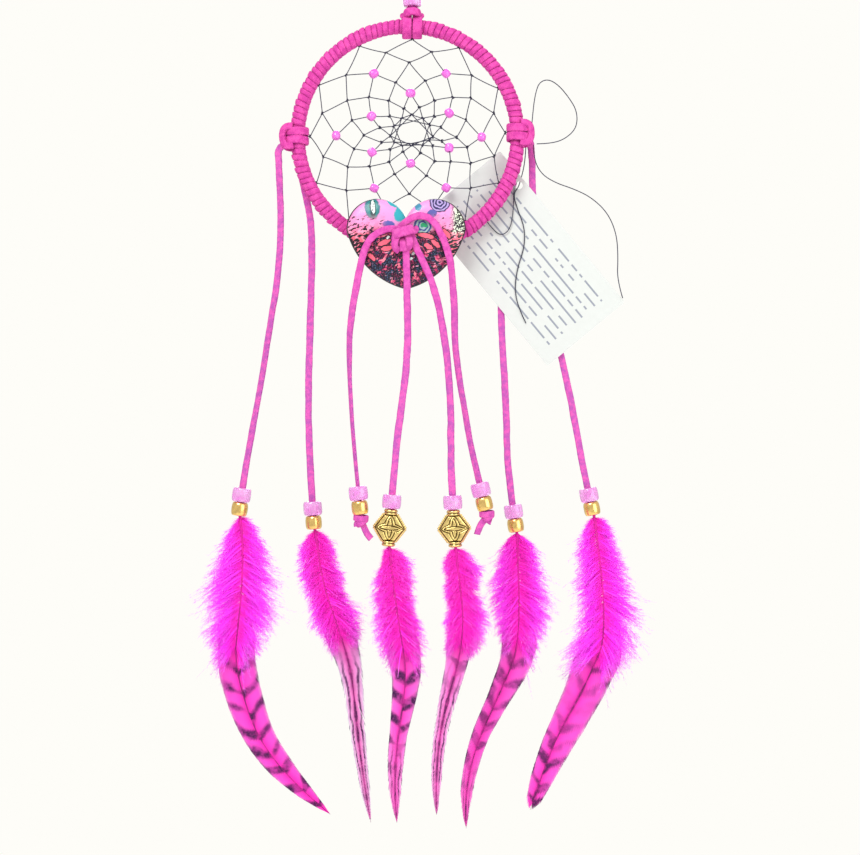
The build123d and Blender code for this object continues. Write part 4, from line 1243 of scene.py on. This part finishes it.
def diamond_reach(turn):
    """How far the edge is from the middle: a rhombus with its top and bottom cut off."""
    across, along = np.abs(np.sin(turn)), np.abs(np.cos(turn))
    point = DIAMOND_SHOULDER * DIAMOND_HALF / (DIAMOND_HALF - DIAMOND_COLLAR)
    return np.minimum(1 / (across / DIAMOND_HALF + along / point), DIAMOND_SHOULDER / np.maximum(along, 1e-6))


def diamond(number):
    node = f"diamond_bead_{number}"
    centre, up = cad_middle(node), hang_axis(number)
    right = unit(np.cross(up, FRONT))
    turn = full_turn(DIAMOND_TURNS)
    share = np.sin(np.linspace(0.02, 1, DIAMOND_RINGS) * math.pi / 2)[:, None]
    ring = share * diamond_reach(turn)
    across, along = ring * np.sin(turn), ring * np.cos(turn)
    groove = line_mark((share - 0.88) * 7) * np.ones(DIAMOND_TURNS)
    flower = np.minimum(oval(along, across, *OUTER_OVALS[0]), oval(across, along, *OUTER_OVALS[1]))
    upright, lying = oval(along, across, *INNER_OVALS[0]), oval(across, along, *INNER_OVALS[1])
    for mark in (line_mark(flower), line_mark(lying), line_mark(upright) * (lying > 0)):
        groove = np.maximum(groove, mark)
    half = DIAMOND_THICK / 2 * (1 - 0.3 * share ** 2) * (1 - share ** 16) ** 0.5 - 0.3 * groove
    heap = Heap()
    flat = centre + across[..., None] * right + along[..., None] * up
    sheets = [flat + half[..., None] * FRONT, (flat - half[..., None] * FRONT)[::-1]]
    faces = capped_faces(2 * DIAMOND_RINGS, DIAMOND_TURNS)
    heap.add(np.concatenate(sheets), faces, groove=np.concatenate([groove, groove[::-1]]).ravel())
    for side in (1, -1):
        lathe(heap, DIAMOND_COLLAR_SECTION, centre, up * side, 32, groove=DIAMOND_COLLAR_GROOVE)
        for n in range(RIM_DOTS):
            for hand in (1, -1):
                lean = (n + 0.7) / (RIM_DOTS + 0.6)
                spot = centre + hand * right * (DIAMOND_HALF + (DIAMOND_COLLAR - DIAMOND_HALF) * lean)
                spot += side * up * DIAMOND_SHOULDER * lean
                lathe(heap, ball_profile(0.48), spot, FRONT, 10, closed=False)
    return heap.piece(f"diamond_{number}", ANTIQUE, body=f"drop_{number}", replaces=[node])


# ---- Feathers -----------------------------------------------------------------------------------
# down_end: where the fluff ends, as a share of the length. fluff: how far it reaches to the left and to the
# right, at even steps from the bead to there. blade: the same for the vane, from inside the fluff to the tip.
# period: from one bar to the next. bars: how dark they are, at even steps from the bead to the tip.
# streaks: how dark the lengthwise ones are, below the share streaks_from. pale: how pale the vane is.
# hot: how far the deep pink reaches from the shaft. midline: how dark the shaft is. wisps: how many loose
# hairs stand out of the fluff.
FEATHER_KEYS = ("down_end", "fluff", "blade", "period", "bars", "streaks", "streaks_from", "pale", "hot",
                "midline", "wisps")
FEATHER_LOOKS = {number: dict(zip(FEATHER_KEYS, look)) for number, *look in (
    (1, 0.47, ((2.5, 9.5, 15, 18.5, 20.5, 18, 13, 8), (2.5, 10.5, 15.5, 17.5, 20, 19, 15, 10)),
     ((8, 8.3, 8.6, 8, 6.8, 5.7, 3.5, 0.3), (8, 8.3, 8.6, 8, 6.8, 5.7, 3.5, 0.3)),
     10.5, (1.0,), 0.1, 0.9, 0.12, 2.2, 0.25, 90),
    (2, 0.43, ((3.5, 8.5, 9, 9.7, 10.5, 12.5, 11.5, 7), (3.5, 11, 12.5, 12, 11.5, 12.5, 9.5, 7)),
     ((7.5, 7, 5.8, 4.6, 3.7, 3, 2.2, 0.3), (7.5, 7, 5.4, 4.4, 3.6, 2.9, 2.2, 0.3)),
     13, (0.3,), 1.0, 0.36, 0.85, 5.5, 1.0, 40),
    (4, 0.44, ((4, 10.5, 10, 9, 9, 10.5, 11.5, 8), (1, 5, 9.5, 11.5, 11, 12.5, 12, 9)),
     ((7.5, 7.5, 6.8, 5.2, 3.9, 3.6, 2.8, 0.3), (8.8, 8, 6, 5, 3.9, 3.6, 2.8, 0.3)),
     10.5, (1.0,), 0.95, 0.66, 0.4, 7.5, 0.4, 25),
    (5, 0.42, ((4, 10.8, 10.8, 9, 10, 12, 10.5, 6), (3, 6, 7.5, 8, 8.5, 8.5, 8, 6)),
     ((6, 5, 4.2, 4, 3.4, 3, 2.2, 0.5), (6.5, 6.5, 5, 4, 3.2, 2.8, 2.2, 0.5)),
     9.5, (0.7,), 1.0, 0.42, 0.6, 7.0, 0.9, 25),
    (7, 0.42, ((3, 9.5, 13, 15, 16, 14.5, 12, 10), (4, 11, 13, 15, 14.5, 11.5, 10, 7)),
     ((10, 9.4, 8, 5.5, 3.8, 3.4, 2.8, 0.4), (7.5, 7, 5.5, 4.6, 4.3, 3.4, 2.8, 0.4)),
     10.5, (0.75,), 0.85, 0.74, 0.3, 4.5, 0.45, 60),
    (8, 0.53, ((5, 9.5, 11, 13, 17, 17, 17, 11), (3, 9.5, 11.5, 13.5, 12.5, 14.5, 20, 14)),
     ((12, 11.5, 10.4, 9.8, 9.5, 8, 5.5, 2.6), (9, 9.2, 9.2, 7.5, 6, 5.3, 4.6, 2.6)),
     9.5, (1.0, 1.0, 1.0, 1.0, 1.0, 0.15, 0.8, 1.0, 1.0), 0.1, 0.9, 0.18, 2.2, 0.75, 80),
)}
SLICES = 48
DOWN_STEPS = 8
# Barbs, their width, shortest and longest as a share of the fluff's reach, and the fine hairs on each.
DOWN_LAYERS = ((300, 0.9, 0.35, 0.75, 0), (1400, 0.14, 0.45, 1.02, 40))
WISP_LAYER = (0.12, 1.05, 1.32, 8)
DOWN_LAST_ROOT, WISP_LAST_ROOT = 0.9, 0.8
HAIR_HALF = 0.045
FLUFF_DEPTH = 8.0
VANE_BARBS = 260
VANE_STEPS = 14
DOWN_ANGLES = (50, 62, 62, 58, 48, 34)   # degrees from the shaft, at even steps towards the tip
VANE_ANGLES = (34, 30, 24, 18)
VANE_FROM = 0.62      # where the vane starts, as a share of the way to the fluff's end
VANE_LAST_ROOT = 0.975


def slices(node):
    """The middle line of a CAD feather, from slices at even heights."""
    mesh = frame["nodes"][node].data
    mesh.calc_loop_triangles()
    places = (np.array([vertex.co for vertex in mesh.vertices]) - CENTRE) / MM
    corners = np.array([triangle.vertices for triangle in mesh.loop_triangles])
    edges = np.concatenate([corners[:, (0, 1)], corners[:, (1, 2)], corners[:, (2, 0)]])
    a, b = places[edges[:, 0]], places[edges[:, 1]]
    heights = np.linspace(places[:, 2].max() - 0.2, places[:, 2].min() + 0.3, SLICES)
    middle = []
    for height in heights:
        crosses = (a[:, 2] - height) * (b[:, 2] - height) < 0
        p, q = a[crosses], b[crosses]
        x = p[:, 0] + (q[:, 0] - p[:, 0]) * (height - p[:, 2]) / (q[:, 2] - p[:, 2])
        middle.append((x.min() + x.max()) / 2)
    depth = (places[:, 1].min() + places[:, 1].max()) / 2
    return np.stack([middle, np.full(SLICES, depth), heights], 1)


def eased(line, passes):
    """Smooths a line and keeps its ends."""
    for _ in range(passes):
        inner = (line[:-2] + 2 * line[1:-1] + line[2:]) / 4
        line = np.concatenate([line[:1], inner, line[-1:]])
    return line


def along_line(line, shares):
    """Points at shares of a line's length, and the direction there."""
    reach = distances(line)
    ways = directions(line)
    place = np.clip(shares, 0, 1) * reach[-1]
    points = np.stack([np.interp(place, reach, line[:, axis]) for axis in range(3)], -1)
    return points, unit(np.stack([np.interp(place, reach, ways[:, axis]) for axis in range(3)], -1))


def on_side(left, pair, share):
    """The value at a share of the way through the left or the right list."""
    return np.where(left, even(pair[0], share), even(pair[1], share))


def strips(lines, widths, facing):
    """Flat tapered strips along many short lines at once."""
    along = np.gradient(lines, axis=1)
    half = unit(np.cross(along, facing)) * widths[..., None] / 2
    points = np.stack([lines - half, lines + half], 2)
    count, steps = lines.shape[:2]
    first = np.arange(count)[:, None] * 2 * steps + 2 * np.arange(steps - 1)
    faces = np.stack([first, first + 1, first + 3, first + 2], -1).reshape(-1, 4)
    return points.reshape(-1, 3), faces


def barb_lines(root, start, bend, length, steps):
    """Curved lines from each root: start is their first direction and bend what they turn towards."""
    share = np.linspace(0, 1, steps)[None, :, None]
    way = unit(start[:, None] * (1 - share) + bend[:, None] * share)
    step = way * (length[:, None, None] / (steps - 1))
    return root[:, None] + np.cumsum(step, axis=1) - step


def feather_shaft(number, line):
    """The quill and rachis, thinning to the tip."""
    heap = Heap()
    share = np.linspace(0, 1, len(line))
    radius = np.interp(share, (0, 0.06, 0.12, 0.3, 0.6, 1), (0.75, 0.55, 0.36, 0.28, 0.2, 0.07))
    tube(heap, line + FRONT * 0.3, radius, sides=8, core=1.0, pale=0.0,
         dark=np.repeat(np.interp(share, (0, 0.3, 0.5), (0.3, 0.4, 0.9)), 8))
    heap.piece(f"feather_{number}_shaft", VANE, body=f"drop_{number}")


def feather_down(number, line, look):
    """The fluff: broad soft barbs inside, finer ones with hairs on them outside, and a few loose wisps."""
    rng = np.random.default_rng(200 + number)
    heap = Heap()
    total = distances(line)[-1]
    bead_low = (cad_box(END_BEADS[number])[0][2] - line[0, 2]) / (line[-1, 2] - line[0, 2])
    layers = [layer + (DOWN_LAST_ROOT,) for layer in DOWN_LAYERS]
    layers.append((look["wisps"],) + WISP_LAYER + (WISP_LAST_ROOT,))
    tufts = [wander(rng, 200, 12) for _ in range(4)]
    for count, width, shortest, longest, hairs, last_root in layers:
        place = rng.uniform(0, 1, count) ** 0.9
        share = bead_low + (look["down_end"] * last_root - bead_low) * place * 0.95
        root, ahead = along_line(line, share)
        across = np.cross(ahead, FRONT)
        left = rng.uniform(0, 1, count) < 0.5
        side = np.where(left, -1.0, 1.0)
        lean = on_side(left, tufts[:2], place)
        swell = on_side(left, tufts[2:], place)
        angle = even(DOWN_ANGLES, place) + 7 * lean + rng.normal(0, 6, count)
        angle = np.radians(np.clip(angle, 20, 84))
        size = rng.uniform(shortest, longest, count)
        fluff_place = (share - bead_low) / (look["down_end"] - bead_low)
        length = np.full(count, 8.0)
        for _ in range(6):
            tip_place = fluff_place + length * np.cos(angle) / total / (look["down_end"] - bead_low)
            reach = on_side(left, look["fluff"], np.clip(tip_place, 0, 1)) * (1 + 0.13 * swell)
            length = (length + reach * size / np.sin(angle)) / 2
        start = ahead * np.cos(angle)[:, None] + across * (side * np.sin(angle))[:, None]
        start = unit(start + FRONT * rng.normal(0, 0.28, (count, 1)))
        bend = start + ahead * rng.uniform(-0.2, 0.55, (count, 1)) + across * rng.normal(0, 0.2, (count, 1))
        bend = unit(bend + FRONT * rng.normal(0, 0.25, (count, 1)))
        lines = barb_lines(root, start, bend, length, DOWN_STEPS)
        depth = lines[..., 1] - root[:, None, 1]
        lines[..., 1] = root[:, None, 1] + FLUFF_DEPTH * np.tanh(depth / FLUFF_DEPTH)
        step = np.linspace(0, 1, DOWN_STEPS)
        widths = width * (1 - 0.85 * step ** 1.5)[None] * rng.uniform(0.75, 1.2, (count, 1))
        points, faces = strips(lines, widths, unit(FRONT + rng.normal(0, 0.35, (count, 1, 3))))
        away = ((lines - root[:, None]) * across[:, None]).sum(2)
        core = np.exp(-(away / look["hot"]) ** 2) * rng.uniform(0.7, 1.0, (count, 1))
        tips = np.clip(step * 2.2 - 1.2, 0, 1)[None]
        late = np.clip(place * 4 - 3, 0, 1)[:, None]
        pale = np.clip(tips * (0.15 + 0.4 * late) + 0.1 * rng.uniform(0, 1, (count, 1)), 0, 1)
        dark = np.clip(tips * late * rng.uniform(-0.2, 1.3, (count, 1)), 0, 1)
        heap.add(points, faces, core=np.repeat(core, 2), pale=np.repeat(pale, 2), dark=np.repeat(dark, 2))
        if hairs:
            down_hairs(heap, rng, lines, hairs, core, pale, dark)
    heap.piece(f"feather_{number}_down", DOWN, body=f"drop_{number}", tidy=False)


def down_hairs(heap, rng, lines, hairs, core, pale, dark):
    """Fine hairs all round each barb."""
    count, steps = lines.shape[:2]
    spot = rng.uniform(0.05, 1.0, (count, hairs))
    low = np.minimum((spot * (steps - 1)).astype(int), steps - 2)
    part = (spot * (steps - 1) - low)[..., None]
    pick = np.arange(count)[:, None]
    base = lines[pick, low] * (1 - part) + lines[pick, low + 1] * part
    way = unit(lines[pick, low + 1] - lines[pick, low])
    off = rng.normal(0, 1, (count, hairs, 3))
    off = unit(off - (off * way).sum(-1, keepdims=True) * way) * (1, 0.6, 1)
    length = rng.uniform(1.6, 4.2, (count, hairs)) * (1.15 - 0.6 * spot)
    tip = base + unit(way + off * rng.uniform(0.4, 0.95, (count, hairs, 1))) * length[..., None]
    base, tip = base.reshape(-1, 3), tip.reshape(-1, 3)
    flat = unit(np.cross(tip - base, FRONT + rng.normal(0, 0.4, base.shape))) * HAIR_HALF
    corners = np.stack([base - flat, base + flat, tip], 1)
    values = {"core": core, "pale": pale, "dark": dark * 0.8}
    values = {name: np.repeat(np.take_along_axis(value, low, 1).ravel(), 3) for name, value in values.items()}
    heap.add(corners, np.arange(len(base) * 3).reshape(-1, 3), **values)


def feather_vane(number, line, look):
    """The vane's barbs, laid in the feather's own curve so that their tips make its edge."""
    rng = np.random.default_rng(300 + number)
    total = distances(line)[-1]
    begin = look["down_end"] * VANE_FROM
    heap = Heap()
    for hand, side in enumerate((-1.0, 1.0)):
        blade = look["blade"][hand]
        share = np.linspace(begin, VANE_LAST_ROOT, VANE_BARBS)
        root = share * total
        reach = even(blade, (share - begin) / (1 - begin))
        tip = np.minimum(root + reach / np.tan(np.radians(even(VANE_ANGLES, share))), total * 0.998)
        wide = even(blade, np.clip((tip / total - begin) / (1 - begin), 0, 1))
        wide = wide * np.sqrt(np.clip((1 - tip / total) / 0.03, 0, 1))
        fray = 0.03 + 0.24 * np.clip((share - look["streaks_from"]) * 6, 0, 1) * look["streaks"]
        wide = wide * (1.03 - fray * rng.uniform(0, 1, VANE_BARBS))
        step = np.linspace(0, 1, VANE_STEPS)
        place = root[:, None] + (tip - root)[:, None] * step ** 1.25
        away = wide[:, None] * (1 - (1 - step) ** 1.3)
        middle, ahead = along_line(line, place / total)
        lines = middle + np.cross(ahead, FRONT) * (side * away)[..., None]
        lines[..., 1] += 0.02 * away ** 2 + 0.1 * (np.arange(VANE_BARBS) % 2)[:, None]
        widths = (0.62 - fray[:, None]) * (1 - step ** 3)[None] + 0.08
        points, faces = strips(lines, widths, FRONT + np.zeros((VANE_BARBS, 1, 3)))
        edge = even(blade, np.clip((place / total - begin) / (1 - begin), 0, 1))
        dark, pale = markings(number, look, place, away, np.clip(away / edge, 0, 1), side, total)
        core = np.exp(-(away / 2.5) ** 2)
        heap.add(points, faces, core=np.repeat(core, 2), pale=np.repeat(pale, 2), dark=np.repeat(dark, 2))
    heap.piece(f"feather_{number}_vane", VANE, body=f"drop_{number}",
               replaces=[f"feather_{number}"], tidy=False)


def markings(number, look, place, away, rim, side, total):
    """Blotchy chevron bars, streaks along the feather, and a dark edge."""
    rng = np.random.default_rng(400 + number)
    share = place / total
    wobble = even(wander(rng, 300, 34), share)
    shaft_marks = even(wander(rng, 300, 40), share)
    side_rng = np.random.default_rng(420 + number + int(side))
    inner, outer = (even(wander(side_rng, 300, 30), share) for _ in range(2))
    patch = inner * (1 - rim) + outer * rim
    wave = np.cos(2 * math.pi * (place + 0.75 * away + 1.6 * wobble + 1.1 * side) / look["period"])
    shown = np.clip((share - look["down_end"] * 0.85) * 14, 0, 1)
    streaky = np.clip((share - look["streaks_from"]) * 6, 0, 1) * look["streaks"]
    bars = np.clip((wave - 0.02 + 0.9 * patch) * 1.7, 0, 1) * even(look["bars"], share) * (1 - 0.75 * streaky)
    stripe = np.clip(np.cos(rim * 11.5 + 1.3 * wobble) * 1.9 - 0.3 + 0.5 * patch, 0, 1) * streaky
    midline = np.exp(-(away / 0.8) ** 2) * np.clip(0.5 + 0.6 * shaft_marks, 0, 1) * look["midline"]
    edge = np.clip((rim - 0.84) * 7, 0, 1)
    dark = np.clip(np.maximum(np.maximum(bars, stripe), midline) + edge * (0.35 + 0.4 * outer), 0, 1) * shown
    pale = look["pale"] * (0.25 + 0.75 * rim) * (0.35 + 0.65 * streaky) + 0.3 * edge
    return dark, np.clip(pale, 0, 1) * shown


def feather(number):
    look = FEATHER_LOOKS[number]
    line = eased(slices(f"feather_{number}"), 6)
    feather_shaft(number, line)
    feather_vane(number, line, look)
    feather_down(number, line, look)


# ---- The whole object ---------------------------------------------------------------------------

ring_wrap()
top_knot()
side_knot("left_knot", -1, LEFT_KNOT_Z, LEFT_KNOT_REACH, 20)
side_knot("right_knot", 1, RIGHT_KNOT_Z, RIGHT_KNOT_REACH, 30)
heart_knot()
heart_binding()
end_knots()
loop_knot()
hanging_lace()
web()
web_beads()
heart()

round_bead("pony", "hanger", "hanger_bead", (0, 0, 1), "hanger")
for number, (obj, line) in tassel_laces.items():
    up = hang_axis(number)
    on_lace = [round_bead("pony", number, f"pony_bead_{number}", up, f"beads_{number}")]
    if number in FEATHERED:
        feather(number)
    if END_BEADS[number].startswith("diamond"):
        on_lace.append(diamond(number))
    else:
        body = f"drop_{number}" if number in FEATHERED else f"beads_{number}"
        on_lace.append(round_bead("gold", number, END_BEADS[number], up, body))
    if number in KNOTTED:
        on_lace.append(f"end_knot_{number}_lace")

for node, material in (("ring_core", ring_metal()), ("tag_card", CARD)):
    frame["nodes"][node].data.materials.clear()
    frame["nodes"][node].data.materials.append(material)
